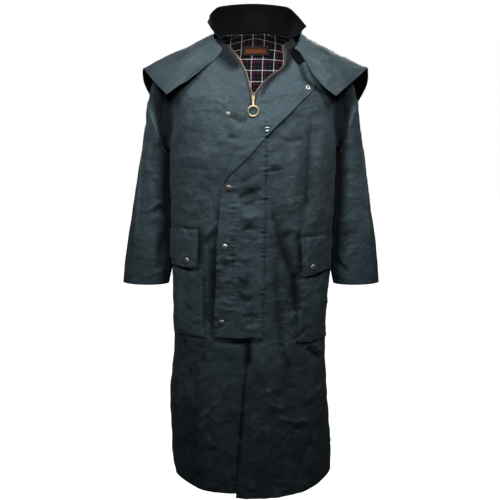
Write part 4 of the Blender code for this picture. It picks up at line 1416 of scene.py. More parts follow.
@dataclass
class Sleeves:
    """One-piece sleeves, from the armholes' own points to the cuffs."""

    body: BodyForm
    columns: int = 113
    cuff: float = 8
    rows: int = 136
    cap_rows: int = 10
    hollow: float = 24
    clearance: float = 0.6
    hollow_power: float = 0.7
    hollow_behind: float = 0.4
    hollow_shade: float = 0.8
    press: float = 14
    press_fade: float = 1.6
    ease: float = 9
    ripple: float = 0.4
    shade: float = 5.5
    shade_reach: float = 48
    lean: dict[Side, float] = field(default_factory=lambda: {Side.RIGHT: -6, Side.LEFT: 5})
    relief: dict[Side, Relief] = field(default_factory=lambda: {
        side: Relief(creases, (), SLEEVE_CRINKLES[side], turn_depth=22, gain=1.4)
        for side, creases in ((Side.RIGHT, RIGHT_SLEEVE_CREASES), (Side.LEFT, LEFT_SLEEVE_CREASES))
    })

    def ring(self, side: Side, station: Array, turn: Array) -> Array:
        """Points of a sleeve's rings; turn 0 is the outer side, 90 the front."""
        values = {column: read(SLEEVE_RINGS, column, station) for column in SleeveRing._fields[1:]}
        across, along = np.cos(np.radians(turn)), np.sin(np.radians(turn))
        outward = (1 + across) / 2
        x = values["inner_x"] + (values["outer_x"] - values["inner_x"]) * outward
        x = x + self.lean[side] * station / self.cuff
        free = np.clip((self.cuff - station) / self.press_fade, 0, 1) * np.clip(station, 0, 1)
        x = x - self.press * free * (1 - outward) ** 2
        y = values["middle_y"] - values["half_depth"] * along
        z = values["inner_z"] + (values["outer_z"] - values["inner_z"]) * outward
        x = np.maximum(x, self.body.half_width_at(side, y, z) + self.clearance)
        return np.stack([side.value * x, y, z], -1)

    def cloth(self, side: Side) -> Cloth:
        """A sleeve's creased cloth, cuff first."""
        turn = np.linspace(0, 360, self.columns)
        station = np.linspace(self.cuff, 0, self.rows)[:, None]
        rings = self.ring(side, station, turn)
        level = self.body.armhole_level + self.body.armhole_half_height * np.cos(np.radians(turn))
        from_side = -self.body.armhole_angle * np.sin(np.radians(turn))
        hole = self.body.cloth(from_side if side is Side.RIGHT else 180 - from_side, level).points
        hole = hole + unit(hole[:-1].mean(axis=0) - hole) * 2 * SEAM
        share = np.linspace(0, 1, self.cap_rows + 1)[1:, None, None]
        cap = rings[-1] + (hole - rings[-1]) * share
        plain = np.concatenate([rings, cap])
        creased, rub = self.relief[side].creased(plain, plain[..., 1].mean(axis=1, keepdims=True))
        shown = np.concatenate([np.ones(self.rows), np.linspace(1, 0, self.cap_rows + 1)[1:]])[:, None]
        room = side.value * plain[..., 0] - self.body.half_width_at(side, plain[..., 1], plain[..., 2])
        room = np.maximum(room - self.clearance, 0)
        loose = shown * np.clip(room / self.ease, 0, 1)
        lift = (creased + self.ripple * self.relief[side].rippled(plain)) * loose
        # Painted shade on the side of the sleeve nearest the body.
        rub = rub - self.shade * np.exp(-(room / self.shade_reach) ** 2)
        fading = np.cos(np.pi / 2 * share[:, 0, 0]) ** self.hollow_power
        near = np.concatenate([np.exp(-station ** 2)[:, 0], fading])[:, None]
        ahead = np.sin(np.radians(turn))
        dip = self.hollow * near * np.where(ahead > 0, ahead, self.hollow_behind * ahead) ** 2
        # The hollow at the front of the armhole is sunk and given painted shade.
        lift, rub = lift - dip, rub - self.hollow_shade * dip
        normal = -grid_normals(plain) * side.value
        normal[:, 0] = normal[:, -1] = unit(normal[:, 0] + normal[:, -1])
        return Cloth(plain + normal * lift[..., None], rub * shown)

    def build(self) -> None:
        """Both sleeves."""
        for side in Side:
            Shell(f"sleeve_{side.word}", self.cloth(side), Finishes.FACING, inside=Finishes.TAPE, tube=True,
                  flip=side is Side.RIGHT).build()


COLLAR_TOP = (
    CollarPoint(-20, 143, -34, 22),
    CollarPoint(5, 127, 18, 48),
    CollarPoint(40, 92, 66, 81),
    CollarPoint(90, -1, 100, 92),
    CollarPoint(140, -95, 66, 81),
    CollarPoint(180, -117, 18, 56),
    CollarPoint(214, -123, -34, 33),
)


@dataclass
class Collar:
    """The standing collar, waxed outside and corduroy inside, and the tab beside it."""

    body: BodyForm
    rise: float = 0.7
    bulge: float = 5
    rows: int = 16
    columns: int = 76
    base_shade: float = 9
    tab_top: Pair = (103, -33)
    tab_foot: Pair = (125, -76)
    tab_width: float = 21
    tab_grid: tuple[int, int] = (18, 9)
    relief: Relief = Relief(turn_depth=10)

    def surface(self, angle: Array, share: Array) -> Array:
        """Outer face of the collar between the neck seam and its top edge."""
        foot = self.body.ring(angle, self.body.neck) + np.array((0, 0, self.rise))
        top = np.stack([read(COLLAR_TOP, axis, angle) for axis in "xyz"], -1)
        outward = np.stack([np.cos(np.radians(angle)), np.sin(np.radians(angle)), 0 * angle], -1)
        share = share[..., None]
        return foot + (top - foot) * share + outward * self.bulge * np.sin(np.pi * share)

    def layer(self, out: float) -> Cloth:
        """The collar's cloth, moved out of its outer face."""
        angle = np.linspace(COLLAR_TOP[0].angle, COLLAR_TOP[-1].angle, self.columns)[None]
        angle, share = np.broadcast_arrays(angle, np.linspace(0, 1, self.rows)[:, None])
        plain = self.surface(angle, share)
        ripple = self.relief.rippled(plain) * np.sin(np.pi * share / 2)
        # Painted shadow at the collar's foot, darkest at the neck seam and none at its top edge.
        return Cloth(plain + grid_normals(plain) * (out + ripple)[..., None], self.base_shade * (share - 1))

    def build_tab(self) -> None:
        """The throat tab, laid on the right front."""
        top, foot = np.array(self.tab_top, float), np.array(self.tab_foot, float)
        rows, columns = self.tab_grid
        share = np.linspace(1, 0, rows)[:, None, None]
        across = np.array((foot[1] - top[1], top[0] - foot[0])) / np.linalg.norm(foot - top)
        aside = across * self.tab_width * np.linspace(-0.5, 0.5, columns)[None, :, None]
        places = top + (foot - top) * share - aside
        cloth = self.body.on_front(places[..., 0], places[..., 1], LAID + WALL)
        Shell("throat_tab", cloth, Finishes.CORDUROY, Finishes.CORDUROY, held="laid",
              rests_on=("front_right",)).build()

    def build(self) -> None:
        """The collar's two layers and the tab."""
        Shell("collar", self.layer(0.0)).build()
        Shell("collar_facing", self.layer(-WALL - SEAM), Finishes.CORDUROY, Finishes.CORDUROY,
              rests_on=("collar",)).build()
        self.build_tab()


CAPE_SECTIONS = (
    CapeSection(0, (110, -62, -37), (136, -82, -66), (163, -104, -112), (217, -114, -159)),
    CapeSection(1, (124, -40, -14), (148, -50, -36), (200, -70, -78), (263, -66, -124)),
    CapeSection(2, (132, 0, 12), (152, 0, -8), (228, 6, -46), (313, 18, -86)),
    CapeSection(3, (104, 44, 14), (140, 58, -6), (230, 76, -62), (320, 74, -124)),
    CapeSection(4, (82, 70, 20), (116, 94, -6), (206, 122, -92), (298, 122, -182)),
    CapeSection(5, (46, 90, 23), (66, 114, -5), (122, 146, -124), (185, 158, -266)),
    CapeSection(6, (0, 94, 24), (0, 120, -4), (0, 152, -150), (0, 166, -318)),
    CapeSection(7, (-46, 90, 23), (-66, 114, -5), (-122, 146, -124), (-180, 158, -264)),
    CapeSection(8, (-80, 70, 20), (-114, 94, -6), (-200, 122, -92), (-284, 122, -180)),
    CapeSection(9, (-100, 44, 12), (-138, 58, -8), (-222, 76, -62), (-307, 70, -116)),
    CapeSection(10, (-108, 0, 4), (-142, 0, -14), (-216, 6, -46), (-301, 16, -86)),
    CapeSection(11, (-102, -38, -14), (-134, -52, -36), (-196, -74, -78), (-264, -66, -122)),
    CapeSection(12, (-82, -66, -36), (-106, -90, -68), (-158, -110, -108), (-227, -114, -156)),
)


@dataclass
class Cape:
    """The shoulder cape in three pieces, parted at the shoulder seams."""

    shoulders: Pair = (2, 10)
    seam: float = 0.004
    step: float = 0.02
    rows: int = 44
    front_columns: int = 40
    back_columns: int = 132
    # Edge lightening: wear and painted highlight.
    worn_edge: float = 1.5
    relief: Relief = Relief(CAPE_CREASES, (), CAPE_CRINKLES, turn_depth=30)

    def surface(self, station: Array, share: Array) -> Array:
        """Outer face of the cape: station runs round the neck, share from neck to hem."""
        stations = [section.station for section in CAPE_SECTIONS]
        station, share = np.broadcast_arrays(station, share)
        points = np.zeros((*station.shape, 3))
        rails = CapeSection._fields[1:]
        knots = np.linspace(0, 1, len(rails))
        for axis in range(3):
            for i, rail in enumerate(rails):
                weight = np.prod([(share - knot) / (knots[i] - knot) for knot in np.delete(knots, i)], axis=0)
                column = [getattr(section, rail)[axis] for section in CAPE_SECTIONS]
                points[..., axis] += smooth(stations, column, station) * weight
        return points

    def normals(self, station: Array, share: Array) -> Array:
        """Outward normals of the plain cape."""
        low = np.maximum(station - self.step, CAPE_SECTIONS[0].station)
        high = np.minimum(station + self.step, CAPE_SECTIONS[-1].station)
        along = self.surface(high, share) - self.surface(low, share)
        down = self.surface(station, share + self.step) - self.surface(station, share - self.step)
        return -unit(np.cross(along, down))

    def cloth(self, station: Array, share: Array) -> Cloth:
        """The cape's creased cloth."""
        plain = self.surface(station, share)
        creased, rub = self.relief.creased(plain)
        lift = creased + self.relief.rippled(plain)
        return Cloth(plain + self.normals(station, share) * lift[..., None], rub)

    def build(self) -> None:
        """The three pieces."""
        first, last = self.shoulders
        spans = (
            ("cape_right", CAPE_SECTIONS[0].station, first - self.seam, self.front_columns),
            ("cape_back", first + self.seam, last - self.seam, self.back_columns),
            ("cape_left", last + self.seam, CAPE_SECTIONS[-1].station, self.front_columns),
        )
        share = np.linspace(1, 0, self.rows)[:, None]
        for name, start, end, columns in spans:
            cloth = self.cloth(np.linspace(start, end, columns)[None], share)
            Shell(name, cloth, inside=Finishes.TAPE, rests_on=("back", "sleeve_right", "sleeve_left"),
                  worn_edge=self.worn_edge).build()


FLAP_CLOSED = (
    FlapEdge(-800, 25, -105),
    FlapEdge(-554, 29, -95),
    FlapEdge(-400, 32, -80),
    FlapEdge(-384, 32, -72),
    FlapEdge(-326, 33, -52),
    FlapEdge(-285, 33, -35),
    FlapEdge(-254, 33, -25),
    FlapEdge(-217, 33, -9),
    FlapEdge(-165, 35, 18),
    FlapEdge(-145, 36, 28),
)
FLAP_TURNED = (
    FlapTurn(0, -76, -384, -64, -366),
    FlapTurn(1, -55, -326, -22, -326),
    FlapTurn(2, -38, -285, 8, -294),
    FlapTurn(3, -28, -254, 34, -264),
    FlapTurn(4, -12, -217, 62, -236),
    FlapTurn(5, 15, -165, 92, -208),
    FlapTurn(6, 40, -126, 122, -177),
    FlapTurn(7, 80, -92, 152, -148),
    FlapTurn(8, 97, -62, 162, -131),
)


@dataclass
class StormFlap:
    """The flap over the zip: closed below, folded back like a lapel above."""

    body: BodyForm
    closed_top: float = LAID + WALL
    fold_radius: float = 2.5
    fold_start: float = 0.16
    free_edge_drop: float = 2.9
    free_edge_lift: float = 6.0
    free_edge_power: float = 1.5
    columns: int = 30
    row_step: float = 4
    roll_columns: int = 9
    turned_rows: int = 70
    # Edge lightening of the two stretches: wear and painted highlight.
    closed_wear: float = 1.5
    turned_wear: float = 2.0

    @property
    def turned_middle(self) -> float:
        """How far the turned stretch's middle lies off the body at the fold."""
        return self.closed_top - WALL / 2 + 2 * self.fold_radius

    def closed(self, z: Array, share: Array) -> Cloth:
        """Cloth on the closed stretch; share runs from its free edge to its seam."""
        free, seam = read(FLAP_CLOSED, "free", z), read(FLAP_CLOSED, "seam", z)
        return self.body.on_front(free + (seam - free) * share, z, self.closed_top)

    def turned(self, station: Array, share: Array) -> Cloth:
        """Cloth on the turned stretch; share runs from the fold to its free edge."""
        places = self.rail("fold", station) + self.reach(station) * share[..., None]
        along = station / FLAP_TURNED[-1].station
        lift = self.free_edge_lift * np.sin(np.pi * along) * share ** self.free_edge_power
        height = self.turned_middle + WALL / 2 - self.free_edge_drop * share + lift
        return self.body.on_front(places[..., 0], places[..., 1], height)

    def rail(self, name: str, station: Array) -> Array:
        """x and z of the turned stretch's fold or free edge."""
        return np.stack([read(FLAP_TURNED, f"{name}_{axis}", station) for axis in "xz"], -1)

    def reach(self, station: Array) -> Array:
        """Way from the fold to the free edge, in x and z."""
        return self.rail("free", station) - self.rail("fold", station)

    def rolled(self, station: Array, turn: Array) -> Cloth:
        """Cloth round the fold, by how far it has turned, in radians."""
        radius = self.fold_radius + WALL / 2
        places = self.rail("fold", station) - unit(self.reach(station)) * (radius * np.sin(turn))[..., None]
        height = self.turned_middle - self.fold_radius - radius * np.cos(turn)
        return self.body.on_front(places[..., 0], places[..., 1], height)

    def build(self) -> None:
        """Both stretches."""
        z = self.body.levels(FLAP_CLOSED[0].z, FLAP_CLOSED[-1].z, self.row_step)
        cloth = self.closed(z, np.linspace(0, 1, self.columns))
        Shell("storm_flap", cloth, Finishes.FACING, held="laid", rests_on=("front_right",),
              worn_edge=self.closed_wear).build()
        station = np.linspace(FLAP_TURNED[0].station, FLAP_TURNED[-1].station, self.turned_rows)[:, None]
        turn = np.linspace(self.fold_start, np.pi, self.roll_columns)[None]
        share = np.linspace(0, 1, self.columns + 1)[None, 1:]
        rolled = self.rolled(*np.broadcast_arrays(station, turn))
        turned = self.turned(*np.broadcast_arrays(station, share))
        both = Cloth(*(np.concatenate(pair, axis=1) for pair in zip(rolled, turned)))
        Shell("storm_flap_turned", both, Finishes.FACING, held="folded", rests_on=("storm_flap",),
              worn_edge=self.turned_wear).build()


def frame_at(middle: Sequence[float], out: Sequence[float], up: Sequence[float] = (0, 0, 1)) -> Matrix:
    """Placing of a small piece whose own z looks out of the cloth.

    Args:
        middle: Its foot, in millimetres.
        out: Way it looks.
        up: Way its own y leans to.

    Returns:
        The matrix, in metres.
    """
    facing = Vector(out).normalized()
    across = Vector(up).cross(facing).normalized()
    turned = Matrix((across, facing.cross(across), facing)).transposed().to_4x4()
    turned.translation = Vector(middle) * MM
    return turned


def edges_of(verts: Sequence[bmesh.types.BMVert]) -> list[bmesh.types.BMEdge]:
    """The edges that meet at some corners."""
    return list({edge for vert in verts for edge in vert.link_edges})


def add_block(shaped: BMesh, matrix: Matrix, bevel: float, narrow: float = 1.0) -> None:
    """Adds a bevelled block.

    Args:
        shaped: The mesh to add to.
        matrix: Placing and size of a cube of edge one.
        bevel: Width of its rounded edges.
        narrow: Scale of its foot's width.
    """
    verts = bmesh.ops.create_cube(shaped, size=1, matrix=matrix)["verts"]
    middle = matrix.translation
    for vert in verts:
        if narrow != 1 and vert.co.z < middle.z:
            vert.co.x = middle.x + (vert.co.x - middle.x) * narrow
    bmesh.ops.bevel(shaped, geom=edges_of(verts), offset=bevel, offset_type="OFFSET", affect="EDGES",
                    segments=3, profile=0.5, material=-1)


@dataclass
class Zip:
    """Tapes, teeth, slider and ring pull of the front zip."""

    body: BodyForm
    plain: BodyForm
    half_gap: float = 0.25
    tape_columns: int = 6
    tape_step: float = 4
    pitch: float = 4.2
    tooth: Triple = (4.0, 2.5, 2.8)
    tooth_sides: int = 8
    tooth_radii: Pair = (0.5, 0.32)
    tooth_lines: Pair = (0.9, 3.0)
    tooth_in: float = 0.3
    tooth_out: float = 0.1
    teeth_top: float = 2
    line_points: int = 2400
    slider_z: float = -166
    slider_size: Triple = (9, 4.5, 15)
    slider_out: float = 2.5
    plate: float = 1.5
    plate_bevel: float = 0.6
    plate_narrow: float = 0.72
    wedge_half_width: float = 1.8
    wedge_sunk: float = 1
    wedge_ends: Pair = (6, 0.6)
    wedge_bevel: float = 0.3
    wedge_narrow: float = 0.4
    cheek_x: float = 3.1
    cheek_half: Pair = (0.7, 2.5)
    cheek_over_pin: float = 1.9
    cheek_sunk: float = 0.5
    cheek_bevel: float = 0.45
    pin_z: float = -168
    pin_out: float = 10.5
    pin_radius: float = 0.9
    pin_length: float = 6.2
    pin_sides: int = 20
    eye_hole: float = 1.4
    eye_radius: float = 2.6
    eye_width: float = 3.4
    neck_drop: float = 2.2
    neck_size: Pair = (3.4, 1.6)
    neck_bevel: float = 0.4
    ring_z: float = -198
    ring_out: float = 12.6
    ring_radius: float = 13.2
    ring_wire: float = 2.2
    wire_sides: int = 14
    loop_steps: tuple[int, int] = (28, 56)

    def line(self, side: Side, level: Array, offset: Number) -> Cloth:
        """Cloth beside the zip's line; offset runs away from it."""
        x = read(ZIP_LINE, side.word, level) + side.value * offset
        return self.body.cloth(self.body.front_angle(x, level), level)

    def build_tape(self, side: Side) -> None:
        """One tape."""
        level = self.body.levels(ZIP_FOOT, step=self.tape_step)
        cloth = self.line(side, level, np.linspace(self.half_gap, TAPE_WIDTH - SEAM, self.tape_columns))
        Shell(f"zip_tape_{side.word}", cloth, Finishes.TAPE, Finishes.TAPE,
              rests_on=(f"front_{side.word}",), flip=side is Side.LEFT).build()

    def build_teeth(self, side: Side) -> None:
        """One row of teeth on its tape's edge, in step with the other row."""
        level = np.linspace(self.body.neck - self.teeth_top, ZIP_FOOT, self.line_points)
        edge, inner = (self.line(side, level, offset).points for offset in self.tooth_lines)
        lengths = travel(edge[:, None], 0, False)[:, 0]
        start = self.pitch / 2 * (side is Side.LEFT)
        size = Matrix.Diagonal((*(Vector(self.tooth) * MM), 1))
        foot, tip = self.tooth_radii
        shaped = bmesh.new()
        for travelled in np.arange(start, lengths[-1], self.pitch):
            i = min(int(np.searchsorted(lengths, travelled)), self.line_points - 2)
            way = unit(edge[i + 1] - edge[i])
            across = unit(inner[i] - edge[i])
            out = unit(np.cross(way, across)) * side.value
            out = out if out[1] < 0 else -out
            turned = Matrix((Vector(across), Vector(way), Vector(out))).transposed().to_4x4()
            turned.translation = Vector(edge[i] + across * self.tooth_in + out * self.tooth_out) * MM
            bmesh.ops.create_cone(shaped, cap_ends=True, segments=self.tooth_sides, radius1=foot, radius2=tip,
                                  depth=1, matrix=turned @ size)
        bmesh.ops.recalc_face_normals(shaped, faces=shaped.faces[:])
        made = place_mesh(f"zip_teeth_{side.word}", shaped)
        made.data.shade_flat()
        Finishes.TEETH.dress(made)
        declare(made)

    def front_y(self, z: float) -> float:
        """y of the plain body at the middle of the front."""
        return float(self.plain.on_front(0.0, z).points[1])

    def box(self, shaped: BMesh, low: Sequence[float], high: Sequence[float], bevel: float,
            narrow: float = 1.0) -> None:
        """Adds a bevelled box between two corners, in millimetres; narrow scales its foot's width."""
        low, high = Vector(low), Vector(high)
        matrix = Matrix.Translation((low + high) / 2) @ Matrix.Diagonal((*(high - low), 1))
        add_block(shaped, matrix, bevel, narrow)

    def metal(self, node: str, shaped: BMesh, body: str) -> None:
        """Turns a shape in millimetres into the brass piece that stands for a node."""
        bmesh.ops.scale(shaped, vec=(MM, MM, MM), verts=shaped.verts[:])
        bmesh.ops.recalc_face_normals(shaped, faces=shaped.faces[:])
        made = place_mesh(f"{node}_metal", shaped)
        made.modifiers.new("flat_faces", "WEIGHTED_NORMAL")
        Finishes.BRASS.dress(made)
        declare(made, node, body)

    def build_slider(self) -> None:
        """The slider: two plates on a wedge, and a bridge that holds the pull's pin."""
        width, depth, height = self.slider_size
        half = width / 2
        face = self.front_y(self.slider_z) - self.slider_out
        pin = self.front_y(self.pin_z) - self.pin_out
        top, foot = self.slider_z + height / 2, self.slider_z - height / 2
        shaped = bmesh.new()
        for near in (face, face + depth - self.plate):
            self.box(shaped, (-half, near, foot), (half, near + self.plate, top), self.plate_bevel,
                     self.plate_narrow)
        above, below = self.wedge_ends
        self.box(shaped, (-self.wedge_half_width, face + self.wedge_sunk, foot + above),
                 (self.wedge_half_width, face + depth - self.wedge_sunk, top - below), self.wedge_bevel,
                 self.wedge_narrow)
        thick, tall = self.cheek_half
        for x in (-self.cheek_x, self.cheek_x):
            self.box(shaped, (x - thick, pin - self.cheek_over_pin, self.pin_z - tall),
                     (x + thick, face + self.cheek_sunk, self.pin_z + tall), self.cheek_bevel)
        turned = Matrix.Translation((0, pin, self.pin_z)) @ Matrix.Rotation(math.pi / 2, 4, "Y")
        bmesh.ops.create_cone(shaped, cap_ends=True, segments=self.pin_sides, radius1=self.pin_radius,
                              radius2=self.pin_radius, depth=self.pin_length, matrix=turned)
        self.metal("zip_slider", shaped, COAT)

    def loop(self, shaped: BMesh, middle: Vector, axis: Vector, radius: float,
             wire: Pair, steps: int) -> None:
        """Adds a closed loop of round or oval wire.

        Args:
            shaped: The mesh to add to, in millimetres.
            middle: The loop's middle.
            axis: The axis it goes round.
            radius: From its middle to the wire's middle.
            wire: The wire's two half thicknesses, towards the middle and along the axis.
            steps: How many stretches make the loop.
        """
        side = Vector((0, 0, 1))
        turned = Matrix((side, axis, side.cross(axis))).transposed().to_4x4()
        turned.translation = middle + side * radius
        made = bmesh.ops.create_circle(shaped, segments=self.wire_sides, radius=1,
                                       matrix=turned @ Matrix.Diagonal((*wire, 1, 1)))
        bmesh.ops.spin(shaped, geom=made["verts"] + edges_of(made["verts"]), cent=middle, axis=axis,
                       angle=2 * math.pi, steps=steps, use_merge=True)

    def build_pull(self) -> None:
        """The pull: an eye round the pin, a short neck and a ring."""
        pin = self.front_y(self.pin_z) - self.pin_out
        ring = self.front_y(self.ring_z) - self.ring_out
        eye_steps, ring_steps = self.loop_steps
        shaped = bmesh.new()
        wire = (self.eye_radius - self.eye_hole) / 2
        self.loop(shaped, Vector((0, pin, self.pin_z)), Vector((1, 0, 0)), self.eye_hole + wire,
                  (wire, self.eye_width / 2), eye_steps)
        start = Vector((0, pin, self.pin_z - self.neck_drop))
        end = Vector((0, ring, self.ring_z + self.ring_radius))
        turned = frame_at((0, 0, 0), end - start, (0, 1, 0))
        turned.translation = (start + end) / 2
        size = Matrix.Diagonal((*self.neck_size, (end - start).length, 1))
        add_block(shaped, turned @ size, self.neck_bevel)
        self.loop(shaped, Vector((0, ring, self.ring_z)), Vector((0, 1, 0)), self.ring_radius,
                  (self.ring_wire, self.ring_wire), ring_steps)
        self.metal("zip_pull", shaped, "zip_pull")

    def build(self) -> None:
        """The whole zip."""
        for side in Side:
            self.build_tape(side)
            self.build_teeth(side)
        self.build_slider()
        self.build_pull()


class StudShape(Enum):
    """Outlines of a press stud's halves, as radius and height."""

    CAP = (
        (0.01, 3.0), (2.6, 2.9), (4.0, 2.7), (5.8, 2.3), (7.2, 1.8), (8.1, 1.2), (8.5, 0.7), (8.5, 0.3),
        (8.2, 0.0),
    )
    SOCKET = (
        (0.01, 0.7), (2.4, 0.7), (3.0, 0.9), (3.3, 1.5), (4.2, 1.8), (5.2, 1.9), (6.1, 1.6), (6.5, 1.0),
        (6.5, 0.0),
    )
    POST = (
        (0.01, 3.4), (1.7, 3.3), (2.2, 2.9), (2.3, 2.3), (2.1, 1.6), (2.6, 1.2), (4.4, 1.1), (6.0, 0.8),
        (6.5, 0.0),
    )


class Stud(NamedTuple):
    """A press stud's half, its place on the front and how far its foot lies off the body."""

    name: str
    shape: StudShape
    x: float
    z: float
    out: float
    finish: Finishes = Finishes.STUD


STUDS = (
    Stud("stud_lapel_upper", StudShape.SOCKET, 140, -141, 6.2),
    Stud("stud_lapel_lower", StudShape.SOCKET, 36, -246, 9.0),
    Stud("stud_fold", StudShape.CAP, -64, -398, 2.6, Finishes.DULL),
    Stud("stud_post", StudShape.POST, -66, -206, 0.0, Finishes.DULL),
    Stud("stud_flap_upper", StudShape.CAP, -75, -555, 2.6),
    Stud("stud_flap_lower", StudShape.CAP, -85, -759, 2.6, Finishes.DULL),
    Stud("stud_pocket_right", StudShape.CAP, 160, -615, 4.0),
    Stud("stud_pocket_left", StudShape.CAP, -177, -598, 4.0),
)


@dataclass
class Studs:
    """All press studs, each standing on the creased cloth."""

    body: BodyForm
    step: float = 4
    sides: int = 36

    def build(self) -> None:
        """All studs."""
        for stud in STUDS:
            offsets = np.array((-self.step, 0, self.step))
            grid = self.body.on_front(stud.x + offsets[None], stud.z + offsets[:, None], stud.out).points
            out = grid_normals(grid)[1, 1]
            shaped = bmesh.new()
            verts = [shaped.verts.new((radius * MM, 0, height * MM)) for radius, height in stud.shape.value]
            edges = [shaped.edges.new(pair) for pair in zip(verts[:-1], verts[1:])]
            bmesh.ops.spin(shaped, geom=verts + edges, cent=(0, 0, 0), axis=(0, 0, 1), angle=2 * math.pi,
                           steps=self.sides, use_merge=True)
            bmesh.ops.recalc_face_normals(shaped, faces=shaped.faces[:])
            bmesh.ops.transform(shaped, matrix=frame_at(grid[1, 1], out), verts=shaped.verts[:])
            made = place_mesh(f"{stud.name}_metal", shaped)
            stud.finish.dress(made)
            declare(made, stud.name)


# Stations of the rows down the cape, and height and x of the row beside the storm flap's studs.
CAPE_ROWS = {"cape_right": 0.07, "cape_left": 11.93, "shoulder_right": 2.06, "shoulder_left": 9.94}
FLAP_STUD_ROW = ((-735, -55), (-560, -53), (-420, -52))


@dataclass
class Stitching:
    """Rows of short stitches along the seams and edges.

    Insets are in millimetres from an edge. Shares run across or down a piece.
    """

    pitch: float = 4.2
    length: float = 3.0
    width: float = 0.85
    height: float = 0.7
    step: float = 0.01
    inset: float = 4
    foot_inset: float = 5
    hem: float = 18
    hem_span: Pair = (0.01, 0.99)
    zip_share: float = 0.014
    vent_share: float = 0.035
    vent_start: float = 30
    pocket_span: Pair = (0.03, 0.97)
    pocket_flap_share: float = 0.04
    bag_shares: Pair = (0.035, 0.965)
    cuff_row: int = 3
    collar_row: int = -2
    cape_stations: Pair = (0.06, 11.94)
    cape_hem_share: float = 0.955
    cape_span: Pair = (0.04, 0.95)
    flap_inset: float = 6
    flap_seam_top: float = -160
    flap_seam_shares: Pair = (0.985, 0.92)
    flap_edge_top: float = -400
    flap_edge_share: float = 0.04
    lapel_stations: Pair = (0.6, 7.85)
    lapel_share: float = 0.94
    lapel_span: Pair = (0.05, 0.93)
    lapel_end: float = 7.8

    def row(self, name: str, points: Array, normals: Array) -> None:
        """One row of stitches.

        Args:
            name: The row's name.
            points: A fine line on the cloth, in millimetres.
            normals: Way the cloth looks at each point.
        """
        lengths = travel(points[:, None], 0, False)[:, 0]
        size = Matrix.Diagonal((self.width * MM / 2, self.length * MM / 2, self.height * MM / 2, 1))
        shaped = bmesh.new()
        for middle in np.arange(self.pitch, lengths[-1] - self.pitch / 2, self.pitch):
            i = min(int(np.searchsorted(lengths, middle)), len(points) - 1)
            share = (lengths[i] - middle) / (lengths[i] - lengths[i - 1])
            along = unit(points[i] - points[i - 1])
            turned = frame_at(points[i] + (points[i - 1] - points[i]) * share, normals[i], along)
            bmesh.ops.create_icosphere(shaped, subdivisions=1, radius=1, matrix=turned @ size)
        made = place_mesh(f"stitches_{name}", shaped)
        Finishes.THREAD.dress(made)
        declare(made)

    def along(self, name: str, surface: Callable[[Array, Array], Cloth], u: Array, v: Number) -> None:
        """A row along a surface's two coordinates.

        Args:
            name: The row's name.
            surface: Gives the cloth at two coordinates.
            u: First coordinate along the row.
            v: Second coordinate along the row.
        """
        u, v = np.broadcast_arrays(u, np.asarray(v, float))
        one = surface(u + self.step, v).points - surface(u - self.step, v).points
        other = surface(u, v + self.step).points - surface(u, v - self.step).points
        self.row(name, surface(u, v).points, unit(np.cross(one, other)))

    def across(self, name: str, surface: Callable[[Array, Array], Cloth], v: Array, u: Number) -> None:
        """A row along a surface's second coordinate, at one value of its first."""
        self.along(name, lambda second, first: surface(first, second), v, u)

    def grid_row(self, name: str, points: Array, row: int) -> None:
        """A row along one row of a cloth's own grid."""
        self.row(name, points[row], grid_normals(points)[row])

    def sew_pocket(self, panels: Panels, pocket: Pocket) -> None:
        """Rows round a pocket's flap and its bag."""
        flap, bag = partial(panels.flap, pocket), partial(panels.bag, pocket)
        word, inside = pocket.side.word, np.linspace(*self.pocket_span, 200)
        self.across(f"flap_foot_{word}", flap, inside, pocket.flap_foot + self.foot_inset)
        self.across(f"flap_top_{word}", flap, inside, pocket.flap_top - self.inset)
        down = np.linspace(pocket.flap_top - 3, pocket.flap_foot + self.inset, 200)
        self.along(f"flap_inner_{word}", flap, down, self.pocket_flap_share)
        self.across(f"bag_foot_{word}", bag, inside, pocket.bag_foot + self.foot_inset)
        down = np.linspace(pocket.flap_foot - self.inset, pocket.bag_foot + self.inset, 300)
        for name, share in zip(("inner", "outer"), self.bag_shares):
            self.along(f"bag_{name}_{word}", bag, down, share)

    def sew_panels(self, panels: Panels) -> None:
        """Rows on the fronts, the pockets and the back's hem."""
        body = panels.body
        for side in Side:
            front = partial(panels.laid, side, out=0.0)
            level = np.linspace(body.neck - self.inset, ZIP_FOOT + 2, 700)
            self.along(f"zip_{side.word}", front, level, self.zip_share)
            self.along(f"hem_{side.word}", lambda u, v: front(panels.hem_raised(side, v, u), u),
                       np.linspace(*self.hem_span, 300), body.hem + self.hem)
        level = np.linspace(panels.vent_lift_top - self.vent_start, body.hem + 2, 400)
        self.along("vent", partial(panels.laid, Side.RIGHT, out=0.0), level, self.vent_share)
        for pocket in POCKETS:
            self.sew_pocket(panels, pocket)
        self.grid_row("hem_back", panels.back_cloth(body.hem, 0.0).points, round(self.hem / ROW_STEP))

    def sew_sleeves(self, sleeves: Sleeves) -> None:
        """A row round each cuff."""
        for side in Side:
            self.grid_row(f"cuff_{side.word}", sleeves.cloth(side).points, self.cuff_row)

    def sew_collar(self, collar: Collar) -> None:
        """A row below the collar's top edge, outside."""
        self.grid_row("collar", collar.layer(0.0).points, self.collar_row)

    def sew_cape(self, cape: Cape) -> None:
        """Rows along the cape's hem, its front edges and its shoulder seams."""
        self.along("cape_hem", cape.cloth, np.linspace(*self.cape_stations, 1400), self.cape_hem_share)
        for name, station in CAPE_ROWS.items():
            self.across(name, cape.cloth, np.linspace(*self.cape_span, 300), station)

